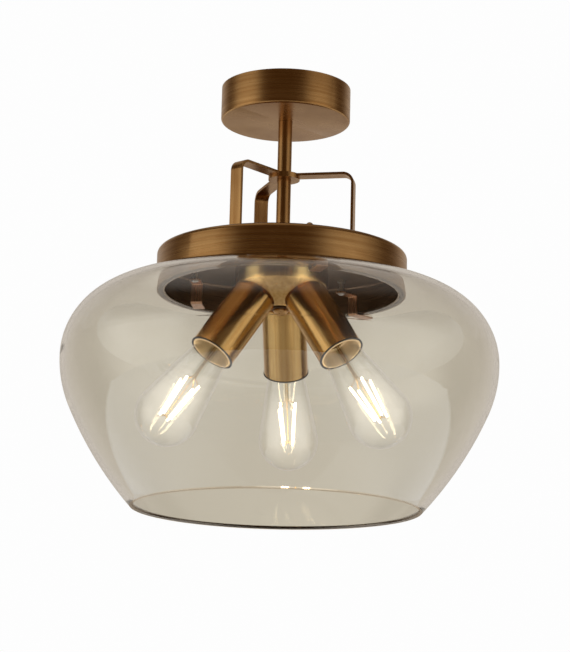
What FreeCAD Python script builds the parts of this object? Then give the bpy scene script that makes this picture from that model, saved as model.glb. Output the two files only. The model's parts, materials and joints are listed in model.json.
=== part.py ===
"""Semi flush ceiling light with a bell-shaped glass shade and three filament lamps.

A rose at the ceiling carries a down rod.  Three flat straps spread from a collar on the rod to a round
gallery pan, and a hub under the pan holds three tilted lampholders.  The glass shade hangs from its own
shoulder on three swivelling clips.

Millimetres, +Z up.  The origin is the centre of the ceiling plane, and everything hangs below it.
Azimuths are in degrees seen in plan: 0 faces the front (-Y) and positive turns to the right (+X).
"""
import FreeCAD, Part
import math
import os

# ---------------------------------------------------------------- clearances
SEAT_GAP = 0.3          # between a loose piece and its seat
THREAD_GAP = 0.1        # between a thread's crest and its nut, drawn as plain cylinders
PIVOT_GAP = 0.08        # radial running clearance of a swivel
PASS_GAP = 0.2          # between a fixed piece and the hole it passes through
CLAMP_GAP = 0.1         # round a piece that its own screw clamps
SLOT_GAP = 0.05         # round a strap's end in its groove
OVERRUN = 1.0           # how far a cutting shape runs past the face it opens

# ---------------------------------------------------------------- fasteners
M10_RADIUS = 5.0        # hollow threaded tube that joins the lamp parts
M10_BORE = 3.5
M10_NUT_FLATS = 14.0
M10_NUT_HEIGHT = 3.5
M4_RADIUS = 2.0
M4_HEAD_RADIUS = 3.5
M4_HEAD_HEIGHT = 2.4
M4_NUT_FLATS = 7.0
M4_NUT_HEIGHT = 3.2
M3_RADIUS = 1.5
M3_HEAD_RADIUS = 2.8
M3_COUNTERSINK = 1.5
GRUB_LENGTH = 5.0
SCREW_PROUD = 1.0       # how far a screw's end stands out of its nut
DOMED_SHARE = 0.7       # the domed part of a round head's height
HEX_SIDES = 6

# ---------------------------------------------------------------- ceiling rose
ROSE_RADIUS = 60.0
ROSE_HEIGHT = 32.0
ROSE_WALL = 1.2
ROSE_CORNER = 2.2
BRACKET_WIDTH = 24.0
BRACKET_GAUGE = 2.0
BRACKET_EAR_DROP = 24.0
BRACKET_EAR_WIDTH = 12.0
BRACKET_SLOT_SPACING = 70.0
BRACKET_SLOT_LENGTH = 14.0
BRACKET_SLOT_WIDTH = 5.0
ROSE_SCREW_DROP = 16.0
BUSH_RADIUS = 9.0
BUSH_HEIGHT = 10.0
TERMINAL_LENGTH = 32.0
TERMINAL_DEPTH = 16.0
TERMINAL_HEIGHT = 14.0
TERMINAL_OFFSET = 30.0
TERMINAL_WAYS = 3
TERMINAL_ROW_OFFSET = 4.0
TERMINAL_BORE_LEVEL = 5.6
TERMINAL_TONGUE_WIDTH = 16.0
TERMINAL_SCREW_RADIUS = 1.7
TERMINAL_BORE_RADIUS = 1.9
CABLE_HOLE_RADIUS = 6.0

# ---------------------------------------------------------------- rod and spider
ROD_RADIUS = 6.5
ROD_TOP_DROP = 14.0
NIPPLE_ENGAGE = 14.0
GALLERY_DROP = 159.5
COLLAR_DROP = 83.2
COLLAR_RADIUS = 14.5
COLLAR_HEIGHT = 4.8
COLLAR_SCREW_FLOOR = 0.8
STRAP_WIDTH = 13.0
STRAP_GAUGE = 2.5
STRAP_REACH = 66.2      # from the lamp's axis to the strap's outer face
STRAP_BEND = 8.0        # inside radius of the upper bend
STRAP_FOOT = 17.0
STRAP_FOOT_BEND = 1.5
STRAP_ROOT = 8.8        # where the strap starts in its slot in the collar
STRAP_AZIMUTHS = {"right": 79.0, "left": -41.0, "back": -161.0}

# ---------------------------------------------------------------- gallery pan
GALLERY_RADIUS = 114.5
GALLERY_HEIGHT = 31.5
GALLERY_WALL = 1.5
GALLERY_CORNER = 4.0

# ---------------------------------------------------------------- glass shade
SHADE_HOLE_RADIUS = 108.5
SHADE_FLAT_RADIUS = 111.8
SHADE_WALL = 3.8
SHADE_ARCS = (          # radius of the outside and degrees turned, from the hole down to the rim
    (127.0, 19.1),      # crown
    (67.4, 70.9),       # shoulder
    (107.8, 24.2),      # belly
    (338.0, 18.1),      # skirt
)

# ---------------------------------------------------------------- glass clips
CLIP_PIVOT_RADIUS = 83.0
CLIP_DROP = 15.5        # from the gallery's top face to the top of the clip's arm
CLIP_HOLE_MARGIN = 9.0  # from the middle of the upright to the edge of the shade's hole
CLIP_FOOT = 23.0
CLIP_WIDTH = 10.6
CLIP_GAUGE = 1.5
CLIP_BEND = 1.0
CLIP_CAP_NUT_HEIGHT = 9.6
CLIP_CAP_NUT_SIDES = 4.3
CLIP_SCREW_ENGAGE = 4.8
CLIP_ARM = SHADE_HOLE_RADIUS - CLIP_HOLE_MARGIN - CLIP_PIVOT_RADIUS
CLIP_AZIMUTHS = {"front": 16.5, "right": 136.5, "left": -103.5}
CLIP_SWIVELS = {"front": 0.0, "right": 0.0, "left": -82.0}

# ---------------------------------------------------------------- lamp hub
HUB_RADIUS = 43.0
HUB_WALL = 3.0
HUB_SEAT_DEPTH = 3.0    # how deep each tube's flat seat is cut into the hub's dome
HUB_FLAT_MARGIN = 0.3   # how far the dome's flat end stands out round the washer
HUB_NUT_MARGIN = 1.0    # the same for the flat spots inside, round the nuts' corners
POCKET_GAP = 1.6        # round the lampholder tube over its seat
HUB_WASHER_RADIUS = 11.0
HUB_WASHER_HEIGHT = 1.2
HUB_CAP_NUT_RADIUS = 7.0
HUB_CAP_NUT_HEIGHT = 6.0

# ---------------------------------------------------------------- lampholders, along each lamp's axis
LAMP_APEX_DROP = 160.7  # where the three axes meet the centre line
LAMP_AZIMUTHS = {"left": -65.0, "right": 55.0, "back": 175.0}
LAMP_TILTS = {"left": 34.3, "right": 34.3, "back": 38.0}
TUBE_RADIUS = 20.7
TUBE_WALL = 1.0
TUBE_END = 1.5
TUBE_LENGTH = 70.0
TUBE_MOUTH = 118.2      # from the apex to the tube's open end
TUBE_WASHER_GAUGE = 1.2
TUBE_WASHER_RADIUS = 16.0
NIPPLE_IN_HOLDER = 8.0
MOUTH_RING_LIP = 0.5    # how far the ring stands out round the tube
MOUTH_RING_GAUGE = 1.0
HOLDER_WALL = 1.7
HOLDER_BACK_GAP = 15.0  # wiring space between the tube's end and the holder's back
HOLDER_SKIRT_DEPTH = 16.0
HOLDER_FLOOR = 12.0
SHELL_RADIUS = 13.5     # inside of the screw shell for an E27 cap
SHELL_WALL = 0.5
SHELL_BASE_HOLE = 6.4
CONTACT_RADIUS = 4.2
CONTACT_HEIGHT = 1.2

# ---------------------------------------------------------------- filament lamps, along the same axes
CAP_RADIUS = 13.1
CAP_LENGTH = 26.0
CAP_WALL = 0.5
CAP_TIP_RADIUS = 5.0
CAP_TIP_LENGTH = 4.0
NECK_RADIUS = 12.3
NECK_IN_CAP = 5.0
NECK_FLARE_RADIUS = 14.6
NECK_FLARE_LENGTH = 3.0
BULB_RADIUS = 28.5
BULB_LENGTH = 116.0     # from the cap's rim to the round end
BULB_WALL = 0.8
BULB_TIP_RADIUS = 1.6
BULB_TIP_HEIGHT = 1.6
STEM_RADIUS = 3.6
STEM_LENGTH = 46.0
STEM_BUTTON_RADIUS = 2.2
LEAD_RADIUS = 0.35
FILAMENT_COUNT = 4
FILAMENT_TURN = 45.0
FILAMENT_RADIUS = 1.0
FILAMENT_LENGTH = 38.0
FILAMENT_TOP_SPREAD = 10.0
FILAMENT_END_SPREAD = 6.0
FILAMENT_START = 51.0   # from the cap's rim

# ---------------------------------------------------------------- levels and fits worked out from the sizes
GALLERY_TOP = -GALLERY_DROP
GALLERY_INSIDE = GALLERY_TOP - GALLERY_WALL
GALLERY_RIM = GALLERY_TOP - GALLERY_HEIGHT
ROSE_BOTTOM = -ROSE_HEIGHT
COLLAR_TOP = -COLLAR_DROP
COLLAR_BOTTOM = COLLAR_TOP - COLLAR_HEIGHT
SHADE_UNDERSIDE = GALLERY_RIM - SHADE_WALL
CLIP_TOP = GALLERY_TOP - CLIP_DROP
CLIP_REACH = math.hypot(CLIP_PIVOT_RADIUS + CLIP_ARM + CLIP_FOOT, CLIP_WIDTH / 2)
CROWN_INSIDE = SHADE_ARCS[0][0] - SHADE_WALL
CROWN_DROP = CROWN_INSIDE - math.sqrt(CROWN_INSIDE ** 2 - max(CLIP_REACH - SHADE_FLAT_RADIUS, 0.0) ** 2)
CLIP_FOOT_TOP = SHADE_UNDERSIDE - CROWN_DROP - SEAT_GAP
STRAP_SCREW_RADIUS = STRAP_REACH - STRAP_GAUGE - STRAP_FOOT / 2
TUBE_START = TUBE_MOUTH - TUBE_LENGTH
POCKET_FLOOR = TUBE_START - TUBE_WASHER_GAUGE
POCKET_RADIUS = TUBE_RADIUS + POCKET_GAP
HUB_DOME_RADIUS = POCKET_FLOOR + HUB_SEAT_DEPTH
HUB_INSIDE_RADIUS = POCKET_FLOOR - HUB_WALL
HUB_BOTTOM = -LAMP_APEX_DROP - math.sqrt(HUB_DOME_RADIUS ** 2 - (HUB_WASHER_RADIUS + HUB_FLAT_MARGIN) ** 2)
HUB_SPOT_RADIUS = M10_NUT_FLATS / math.sqrt(3) + HUB_NUT_MARGIN
HOLDER_RADIUS = TUBE_RADIUS - TUBE_WALL - SEAT_GAP
HOLDER_BACK = TUBE_START + TUBE_END + HOLDER_BACK_GAP
HOLDER_MOUTH = TUBE_MOUTH + MOUTH_RING_GAUGE
SHELL_OUTER = SHELL_RADIUS + SHELL_WALL
SHELL_START = HOLDER_BACK + HOLDER_FLOOR
SHELL_END = HOLDER_MOUTH - HOLDER_SKIRT_DEPTH
CAP_RIM = SHELL_START + CONTACT_HEIGHT + SEAT_GAP + CAP_LENGTH
BULB_END = CAP_RIM + BULB_LENGTH
STEM_FLARE_RADIUS = NECK_RADIUS - BULB_WALL - PASS_GAP
FULL_TURN = 360.0
CORNER_INSET = 1.0 - math.sqrt(0.5)     # of a rounded corner's middle, as a share of its radius


# ---------------------------------------------------------------- placing and drawing helpers
def vector(x, y, z=0.0):
    return FreeCAD.Vector(x, y, z)


ORIGIN = vector(0, 0)
UP = vector(0, 0, 1)
DOWN = vector(0, 0, -1)
SIDEWAYS = vector(0, 1, 0)


def turned_to(shape, azimuth):
    """Turn a shape drawn along +X about the centre line, so that it points to an azimuth."""
    placed = shape.copy()
    placed.rotate(ORIGIN, UP, azimuth - 90.0)
    return placed


def on_lamp_axis(shape, lamp):
    """Move a shape drawn along +Z onto one lamp's axis, its origin at the apex of the three axes."""
    placed = shape.copy()
    placed.rotate(ORIGIN, SIDEWAYS, 180.0 - LAMP_TILTS[lamp])
    placed = turned_to(placed, LAMP_AZIMUTHS[lamp])
    placed.translate(vector(0, 0, -LAMP_APEX_DROP))
    return placed


def round_bar(radius, bottom, top, x=0.0, y=0.0):
    return Part.makeCylinder(radius, top - bottom, vector(x, y, bottom), UP)


def ring(outer, inner, bottom, top, x=0.0, y=0.0):
    return round_bar(outer, bottom, top, x, y).cut(round_bar(inner, bottom - OVERRUN, top + OVERRUN, x, y))


def block(x0, x1, y0, y1, z0, z1):
    return Part.makeBox(x1 - x0, y1 - y0, z1 - z0, vector(x0, y0, z0))


def hex_bar(flats, bottom, top, x=0.0, y=0.0):
    """A hexagonal bar between two heights, measured across its flats."""
    corner_radius = flats / math.sqrt(3)
    corners = []
    for step in range(HEX_SIDES + 1):
        angle = math.radians(FULL_TURN / HEX_SIDES * step)
        across = corner_radius * math.cos(angle)
        along = corner_radius * math.sin(angle)
        corners.append(vector(x + across, y + along, bottom))
    return Part.Face(Part.makePolygon(corners)).extrude(vector(0, 0, top - bottom))


def hex_nut(flats, bore, bottom, top, x=0.0, y=0.0):
    return hex_bar(flats, bottom, top, x, y).cut(round_bar(bore, bottom - OVERRUN, top + OVERRUN, x, y))


def line(start, end):
    return Part.LineSegment(start, end).toShape()


def arc(start, middle, end):
    return Part.Arc(start, middle, end).toShape()


def profile_point(radius, height):
    return vector(radius, 0, height)


def spun(edges):
    """Spin a closed outline of the XZ half plane about the Z axis."""
    face = Part.Face(Part.Wire(edges))
    return face.revolve(ORIGIN, UP, FULL_TURN)


def spun_polygon(points):
    corners = [profile_point(radius, height) for radius, height in points]
    return Part.Face(Part.makePolygon(corners + corners[:1])).revolve(ORIGIN, UP, FULL_TURN)


def spun_cup(radius, wall, corner, hole, closed_height, open_height):
    """A spun pan: a holed disc at one height, a rounded corner and a wall up or down to the open rim."""
    way = math.copysign(1.0, open_height - closed_height)
    inner_corner = max(corner - wall, wall / 4)
    inside = radius - wall
    floor = closed_height + way * wall
    outer_inset = corner * CORNER_INSET
    inner_inset = inner_corner * CORNER_INSET
    outer_mid = profile_point(radius - outer_inset, closed_height + way * outer_inset)
    inner_mid = profile_point(inside - inner_inset, floor + way * inner_inset)
    points = [
        profile_point(hole, closed_height),
        profile_point(radius - corner, closed_height),
        profile_point(radius, closed_height + way * corner),
        profile_point(radius, open_height),
        profile_point(inside, open_height),
        profile_point(inside, floor + way * inner_corner),
        profile_point(inside - inner_corner, floor),
        profile_point(hole, floor),
    ]
    edges = [
        line(points[0], points[1]),
        arc(points[1], outer_mid, points[2]),
        line(points[2], points[3]),
        line(points[3], points[4]),
        line(points[4], points[5]),
        arc(points[5], inner_mid, points[6]),
        line(points[6], points[7]),
        line(points[7], points[0]),
    ]
    return spun(edges)


def dome(radius, height, base):
    """A round cap: a straight skirt under a half-ball flattened to what is left of the height."""
    crown = min(radius, height * DOMED_SHARE)
    skirt = base + height - crown
    # The crown is an arc through the rim and the pole, its middle point found on their common circle.
    ball = (radius ** 2 + crown ** 2) / (2 * crown)
    centre = skirt + crown - ball
    half = math.asin(min(1.0, radius / ball)) / 2
    middle = profile_point(ball * math.sin(half), centre + ball * math.cos(half))
    pole = profile_point(0, skirt + crown)
    edges = [
        line(profile_point(0, base), profile_point(radius, base)),
        line(profile_point(radius, base), profile_point(radius, skirt)),
        arc(profile_point(radius, skirt), middle, pole),
        line(pole, profile_point(0, base)),
    ]
    return spun(edges)


def bent_strip(width, gauge, runs):
    """A flat strip bent in the XZ plane.

    runs is a list of (x, z, inside bend radius) along the strip's middle; the ends' radii are unused.
    """
    points = [profile_point(x, z) for x, z, _ in runs]
    radii = [bend + gauge / 2 for _, _, bend in runs]
    path = []
    start = points[0]
    for index in range(1, len(points) - 1):
        before = (points[index - 1] - points[index]).normalize()
        after = (points[index + 1] - points[index]).normalize()
        half_angle = before.getAngle(after) / 2
        back_off = radii[index] / math.tan(half_angle)
        enter = points[index] + before * back_off
        leave = points[index] + after * back_off
        bisector = (before + after).normalize()
        centre = points[index] + bisector * (radii[index] / math.sin(half_angle))
        path.append(line(start, enter))
        path.append(arc(enter, centre - bisector * radii[index], leave))
        start = leave
    path.append(line(start, points[-1]))
    return swept_strip(path, width, gauge)


def swept_strip(path, width, gauge):
    """Give a flat path of lines and arcs its gauge on both sides and extrude it across its width."""
    spine = Part.Wire(path)
    sides = []
    for offset in (gauge / 2, -gauge / 2):
        sides.append([offset_edge(edge, offset) for edge in spine.Edges])
    near, far = sides
    cap_start = line(edge_start(far[0]), edge_start(near[0]))
    cap_end = line(edge_end(near[-1]), edge_end(far[-1]))
    outline = Part.Wire(near + [cap_end] + list(reversed(far)) + [cap_start])
    face = Part.Face(outline)
    face.translate(vector(0, -width / 2, 0))
    return face.extrude(vector(0, width, 0))


def edge_start(edge):
    return edge.valueAt(edge.FirstParameter)


def edge_end(edge):
    return edge.valueAt(edge.LastParameter)


def offset_edge(edge, offset):
    """Move a line or an arc of the XZ plane sideways by an offset, as its own tangent edge."""
    def moved(parameter):
        tangent = edge.tangentAt(parameter).normalize()
        return edge.valueAt(parameter) + tangent.cross(SIDEWAYS) * offset

    first, last = edge.FirstParameter, edge.LastParameter
    if isinstance(edge.Curve, Part.Circle):
        return arc(moved(first), moved((first + last) / 2), moved(last))
    return line(moved(first), moved(last))


def joined(solids):
    """Several separate solids in one node."""
    return Part.makeCompound(solids)


# ---------------------------------------------------------------- ceiling rose and its fixings
def ceiling_bracket():
    """A steel strip with two ears.  It screws to the ceiling and holds the rose by its sides."""
    ear = ROSE_RADIUS - ROSE_WALL - SEAT_GAP
    half = BRACKET_WIDTH / 2
    ear_half = BRACKET_EAR_WIDTH / 2
    strip = block(-ear, ear, -half, half, -BRACKET_GAUGE, 0)
    for side in (-1, 1):
        outer = side * ear
        inner = side * (ear - BRACKET_GAUGE)
        left, right = sorted((outer, inner))
        strip = strip.fuse(block(left, right, -ear_half, ear_half, -BRACKET_EAR_DROP, 0))
        strip = strip.cut(slot_cutter(side * BRACKET_SLOT_SPACING / 2))
    # The strip's ends follow the inside of the round rose.
    strip = strip.common(round_bar(ear, -BRACKET_EAR_DROP, 0))
    side_holes = Part.makeCylinder(M4_RADIUS + THREAD_GAP, 2 * ROSE_RADIUS,
                                   vector(-ROSE_RADIUS, 0, -ROSE_SCREW_DROP), vector(1, 0, 0))
    strip = strip.cut(side_holes)
    strip = strip.cut(round_bar(M10_RADIUS + THREAD_GAP, -BRACKET_GAUGE - OVERRUN, OVERRUN))
    return strip.removeSplitter()


def slot_cutter(x):
    """A slot for one ceiling screw, long along X."""
    radius = BRACKET_SLOT_WIDTH / 2
    reach = BRACKET_SLOT_LENGTH / 2 - radius
    low = -BRACKET_GAUGE - OVERRUN
    cutter = block(x - reach, x + reach, -radius, radius, low, OVERRUN)
    for end in (x - reach, x + reach):
        cutter = cutter.fuse(round_bar(radius, low, OVERRUN, end))
    return cutter


def bracket_bush():
    return ring(BUSH_RADIUS, M10_RADIUS + THREAD_GAP, -BRACKET_GAUGE - BUSH_HEIGHT, -BRACKET_GAUGE)


def top_nipple():
    """Hollow threaded tube that hangs the rod from the bracket's bush."""
    return ring(M10_RADIUS, M10_BORE, -ROD_TOP_DROP - NIPPLE_ENGAGE, 0)


def ceiling_rose():
    rose = spun_cup(ROSE_RADIUS, ROSE_WALL, ROSE_CORNER, ROD_RADIUS + PASS_GAP, ROSE_BOTTOM, 0)
    side_holes = Part.makeCylinder(M4_RADIUS + PASS_GAP, 2 * (ROSE_RADIUS + OVERRUN),
                                   vector(-ROSE_RADIUS - OVERRUN, 0, -ROSE_SCREW_DROP), vector(1, 0, 0))
    return rose.cut(side_holes)


def rose_side_screws():
    """Two headless screws through the rose's side into the bracket's ears."""
    screws = []
    for side in (-1, 1):
        start = vector(side * (ROSE_RADIUS - GRUB_LENGTH), 0, -ROSE_SCREW_DROP)
        screws.append(Part.makeCylinder(M4_RADIUS, GRUB_LENGTH, start, vector(side, 0, 0)))
    return joined(screws)


def terminal_pitch():
    return TERMINAL_LENGTH / TERMINAL_WAYS


def terminal_positions():
    """Centre of each way of the terminal block, along X."""
    first = -TERMINAL_LENGTH / 2 + terminal_pitch() / 2
    return [first + terminal_pitch() * way for way in range(TERMINAL_WAYS)]


def terminal_block():
    """A plastic block for the mains wires, fixed on the bracket's back edge."""
    y0 = TERMINAL_OFFSET - TERMINAL_DEPTH / 2
    y1 = TERMINAL_OFFSET + TERMINAL_DEPTH / 2
    z1 = -BRACKET_GAUGE
    z0 = z1 - TERMINAL_HEIGHT
    body = block(-TERMINAL_LENGTH / 2, TERMINAL_LENGTH / 2, y0, y1, z0, z1)
    tongue_half = TERMINAL_TONGUE_WIDTH / 2
    tongue = block(-tongue_half, tongue_half, 0, y0, z1 - BRACKET_GAUGE, z1)
    tongue = tongue.cut(round_bar(BUSH_RADIUS + SEAT_GAP, z0, z1 + OVERRUN))
    body = body.fuse(tongue)
    for x in terminal_positions():
        bore = Part.makeCylinder(TERMINAL_BORE_RADIUS, TERMINAL_DEPTH + 2 * OVERRUN,
                                 vector(x, y0 - OVERRUN, z0 + TERMINAL_BORE_LEVEL), vector(0, 1, 0))
        body = body.cut(bore)
        for row in (-1, 1):
            body = body.cut(terminal_screw(x, row, TERMINAL_SCREW_RADIUS + THREAD_GAP))
    return body


def terminal_screw(x, row, radius):
    """One clamp screw's cylinder: from the block's underside up to the wire bore."""
    y = TERMINAL_OFFSET + row * TERMINAL_ROW_OFFSET
    bottom = -BRACKET_GAUGE - TERMINAL_HEIGHT
    return round_bar(radius, bottom, bottom + TERMINAL_BORE_LEVEL, x, y)


def terminal_screws():
    return joined([terminal_screw(x, row, TERMINAL_SCREW_RADIUS)
                   for x in terminal_positions() for row in (-1, 1)])


# ---------------------------------------------------------------- rod and spider
def down_rod():
    return ring(ROD_RADIUS, M10_RADIUS + THREAD_GAP, GALLERY_TOP, -ROD_TOP_DROP)


def strap_slot(azimuth):
    """The groove that seats one strap in the collar's top."""
    half = STRAP_WIDTH / 2 + SLOT_GAP
    start = STRAP_ROOT - SLOT_GAP
    floor = COLLAR_TOP - STRAP_GAUGE
    groove = block(start, COLLAR_RADIUS + OVERRUN, -half, half, floor, COLLAR_TOP + OVERRUN)
    return turned_to(groove, azimuth)


def collar_screw_radius():
    """How far the strap's collar screw is from the centre line."""
    return (STRAP_ROOT + COLLAR_RADIUS) / 2


def spider_collar():
    collar = ring(COLLAR_RADIUS, ROD_RADIUS + CLAMP_GAP, COLLAR_BOTTOM, COLLAR_TOP)
    floor = COLLAR_BOTTOM + COLLAR_SCREW_FLOOR
    for azimuth in STRAP_AZIMUTHS.values():
        collar = collar.cut(strap_slot(azimuth))
        hole = round_bar(M3_RADIUS + THREAD_GAP, floor, COLLAR_TOP, collar_screw_radius())
        collar = collar.cut(turned_to(hole, azimuth))
    return collar.cut(grub_cylinder(M3_RADIUS + THREAD_GAP, COLLAR_RADIUS))


def spider_strap(azimuth):
    """A flat strap: out from the collar, down beside the rod and in again on the gallery's top."""
    middle = STRAP_REACH - STRAP_GAUGE / 2
    top = COLLAR_TOP - STRAP_GAUGE / 2
    foot = GALLERY_TOP + STRAP_GAUGE / 2
    strap = bent_strip(STRAP_WIDTH, STRAP_GAUGE, [
        (STRAP_ROOT, top, 0),
        (middle, top, STRAP_BEND),
        (middle, foot, STRAP_FOOT_BEND),
        (STRAP_REACH - STRAP_GAUGE - STRAP_FOOT, foot, 0),
    ])
    strap = strap.cut(collar_screw_body(PASS_GAP))
    foot_hole = round_bar(M4_RADIUS + PASS_GAP, GALLERY_TOP - OVERRUN, GALLERY_TOP + STRAP_GAUGE + OVERRUN,
                          STRAP_SCREW_RADIUS)
    return turned_to(strap.cut(foot_hole), azimuth)


def collar_screw_body(gap):
    """A countersunk screw down through the strap's end, its head flush; drawn along +X."""
    x = collar_screw_radius()
    neck = COLLAR_TOP - M3_COUNTERSINK
    head = Part.makeCone(M3_RADIUS + gap, M3_HEAD_RADIUS + gap, M3_COUNTERSINK, vector(x, 0, neck), UP)
    shank = round_bar(M3_RADIUS + gap, COLLAR_BOTTOM + COLLAR_SCREW_FLOOR, neck, x)
    return head.fuse(shank)


def strap_collar_screws():
    return joined([turned_to(collar_screw_body(0.0), azimuth) for azimuth in STRAP_AZIMUTHS.values()])


def strap_foot_screws():
    """Pan-head screws down through the strap's feet and the gallery's top."""
    head_base = GALLERY_TOP + STRAP_GAUGE
    end = GALLERY_INSIDE - M4_NUT_HEIGHT - SCREW_PROUD
    screw = round_bar(M4_RADIUS, end, head_base, STRAP_SCREW_RADIUS)
    head = dome(M4_HEAD_RADIUS, M4_HEAD_HEIGHT, head_base)
    head.translate(vector(STRAP_SCREW_RADIUS, 0, 0))
    return joined([turned_to(screw.fuse(head), azimuth) for azimuth in STRAP_AZIMUTHS.values()])


def strap_foot_nuts():
    nut = hex_nut(M4_NUT_FLATS, M4_RADIUS + THREAD_GAP, GALLERY_INSIDE - M4_NUT_HEIGHT, GALLERY_INSIDE,
                  STRAP_SCREW_RADIUS)
    return joined([turned_to(nut, azimuth) for azimuth in STRAP_AZIMUTHS.values()])


def collar_grub_screw():
    """A headless screw through the collar's side that fixes it on the rod."""
    return grub_cylinder(M3_RADIUS, COLLAR_RADIUS - ROD_RADIUS)


def grub_cylinder(radius, length):
    height = COLLAR_BOTTOM + COLLAR_HEIGHT / 2
    azimuth = STRAP_AZIMUTHS["right"] + 180.0 / len(STRAP_AZIMUTHS)
    body = Part.makeCylinder(radius, length, vector(ROD_RADIUS, 0, height), vector(1, 0, 0))
    return turned_to(body, azimuth)


# ---------------------------------------------------------------- gallery pan and glass clips
def gallery_pan():
    """The round brass pan that the shade hangs under, open below."""
    stud_hole = M10_RADIUS + PASS_GAP
    pan = spun_cup(GALLERY_RADIUS, GALLERY_WALL, GALLERY_CORNER, stud_hole, GALLERY_TOP, GALLERY_RIM)
    low = GALLERY_INSIDE - OVERRUN
    high = GALLERY_TOP + OVERRUN
    strap_hole = round_bar(M4_RADIUS + PASS_GAP, low, high, STRAP_SCREW_RADIUS)
    clip_hole = round_bar(M4_RADIUS + PASS_GAP, low, high, CLIP_PIVOT_RADIUS)
    for azimuth in STRAP_AZIMUTHS.values():
        pan = pan.cut(turned_to(strap_hole, azimuth))
    for azimuth in CLIP_AZIMUTHS.values():
        pan = pan.cut(turned_to(clip_hole, azimuth))
    return pan


def clip_underside():
    return CLIP_TOP - CLIP_GAUGE


def clip_screws():
    """Long screws, head down, that carry the clips under the gallery's top."""
    head_top = clip_underside() - PIVOT_GAP
    screw = round_bar(M4_RADIUS, head_top, GALLERY_TOP + CLIP_SCREW_ENGAGE, CLIP_PIVOT_RADIUS)
    head = dome(M4_HEAD_RADIUS, M4_HEAD_HEIGHT, 0)
    head.rotate(ORIGIN, vector(1, 0, 0), 180.0)
    head.translate(vector(CLIP_PIVOT_RADIUS, 0, head_top))
    return joined([turned_to(screw.fuse(head), azimuth) for azimuth in CLIP_AZIMUTHS.values()])


def clip_lock_nuts():
    """Nuts on the screws just above the clips, which set how high the clips sit."""
    bottom = CLIP_TOP + PIVOT_GAP
    nut = hex_nut(M4_NUT_FLATS, M4_RADIUS + THREAD_GAP, bottom, bottom + M4_NUT_HEIGHT, CLIP_PIVOT_RADIUS)
    return joined([turned_to(nut, azimuth) for azimuth in CLIP_AZIMUTHS.values()])


def clip_plate_nuts():
    """Nuts under the gallery's top that lock the screws against the cap nuts above."""
    nut = hex_nut(M4_NUT_FLATS, M4_RADIUS + THREAD_GAP, GALLERY_INSIDE - M4_NUT_HEIGHT, GALLERY_INSIDE,
                  CLIP_PIVOT_RADIUS)
    return joined([turned_to(nut, azimuth) for azimuth in CLIP_AZIMUTHS.values()])


def clip_cap_nuts():
    """Domed nuts on top of the gallery, over the ends of the clip screws."""
    shoulder = GALLERY_TOP + CLIP_CAP_NUT_SIDES
    nut = hex_bar(M4_NUT_FLATS, GALLERY_TOP, shoulder)
    nut = nut.fuse(dome(M4_NUT_FLATS / 2, CLIP_CAP_NUT_HEIGHT - CLIP_CAP_NUT_SIDES, shoulder))
    thread_end = GALLERY_TOP + CLIP_SCREW_ENGAGE + SEAT_GAP
    nut = nut.cut(round_bar(M4_RADIUS + THREAD_GAP, GALLERY_TOP - OVERRUN, thread_end))
    nut.translate(vector(CLIP_PIVOT_RADIUS, 0, 0))
    return joined([turned_to(nut, azimuth) for azimuth in CLIP_AZIMUTHS.values()])


def glass_clip(name):
    """A bent strip: an arm on the screw, an upright in the shade's hole and a foot under the glass."""
    arm = CLIP_TOP - CLIP_GAUGE / 2
    foot = CLIP_FOOT_TOP - CLIP_GAUGE / 2
    clip = bent_strip(CLIP_WIDTH, CLIP_GAUGE, [
        (0, arm, 0),
        (CLIP_ARM, arm, CLIP_BEND),
        (CLIP_ARM, foot, CLIP_BEND),
        (CLIP_ARM + CLIP_FOOT, foot, 0),
    ])
    clip = clip.fuse(round_bar(CLIP_WIDTH / 2, clip_underside(), CLIP_TOP)).removeSplitter()
    clip = clip.cut(round_bar(M4_RADIUS + PIVOT_GAP, clip_underside() - OVERRUN, CLIP_TOP + OVERRUN))
    clip.rotate(ORIGIN, UP, CLIP_SWIVELS[name])
    clip.translate(vector(CLIP_PIVOT_RADIUS, 0, 0))
    return turned_to(clip, CLIP_AZIMUTHS[name])


# ---------------------------------------------------------------- glass shade
def shade_outline(inset):
    """The shade's side as tangent arcs, from hole to rim, at an inset from its outside."""
    height = GALLERY_RIM - inset
    corner = profile_point(SHADE_FLAT_RADIUS, height)
    edges = [line(profile_point(SHADE_HOLE_RADIUS, height), corner)]
    outside = profile_point(SHADE_FLAT_RADIUS, GALLERY_RIM)
    heading = 0.0
    for radius, turn in SHADE_ARCS:
        centre = outside + inward(heading) * radius
        points = [centre - inward(heading + turn * part) * (radius - inset) for part in (0.0, 0.5, 1.0)]
        edges.append(arc(corner, points[1], points[2]))
        heading += turn
        corner = points[2]
        outside = centre - inward(heading) * radius
    return edges


def inward(heading):
    """The normal towards the shade's inside where its side runs at a heading, 0 out and 90 down."""
    angle = math.radians(heading)
    return profile_point(-math.sin(angle), -math.cos(angle))


def shade_rim_middle():
    """The outermost point of the rim's rounded edge."""
    heading = sum(turn for _, turn in SHADE_ARCS)
    outside = edge_end(shade_outline(0.0)[-1])
    inside = edge_end(shade_outline(SHADE_WALL)[-1])
    angle = math.radians(heading)
    onward = profile_point(math.cos(angle), -math.sin(angle))
    return (outside + inside) * 0.5 + onward * (SHADE_WALL / 2)


def glass_shade():
    outer = shade_outline(0.0)
    inner = shade_outline(SHADE_WALL)
    rim = arc(edge_end(outer[-1]), shade_rim_middle(), edge_end(inner[-1]))
    hole_middle = profile_point(SHADE_HOLE_RADIUS - SHADE_WALL / 2, GALLERY_RIM - SHADE_WALL / 2)
    hole = arc(edge_start(inner[0]), hole_middle, edge_start(outer[0]))
    return spun(outer + [rim] + list(reversed(inner)) + [hole])


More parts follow.
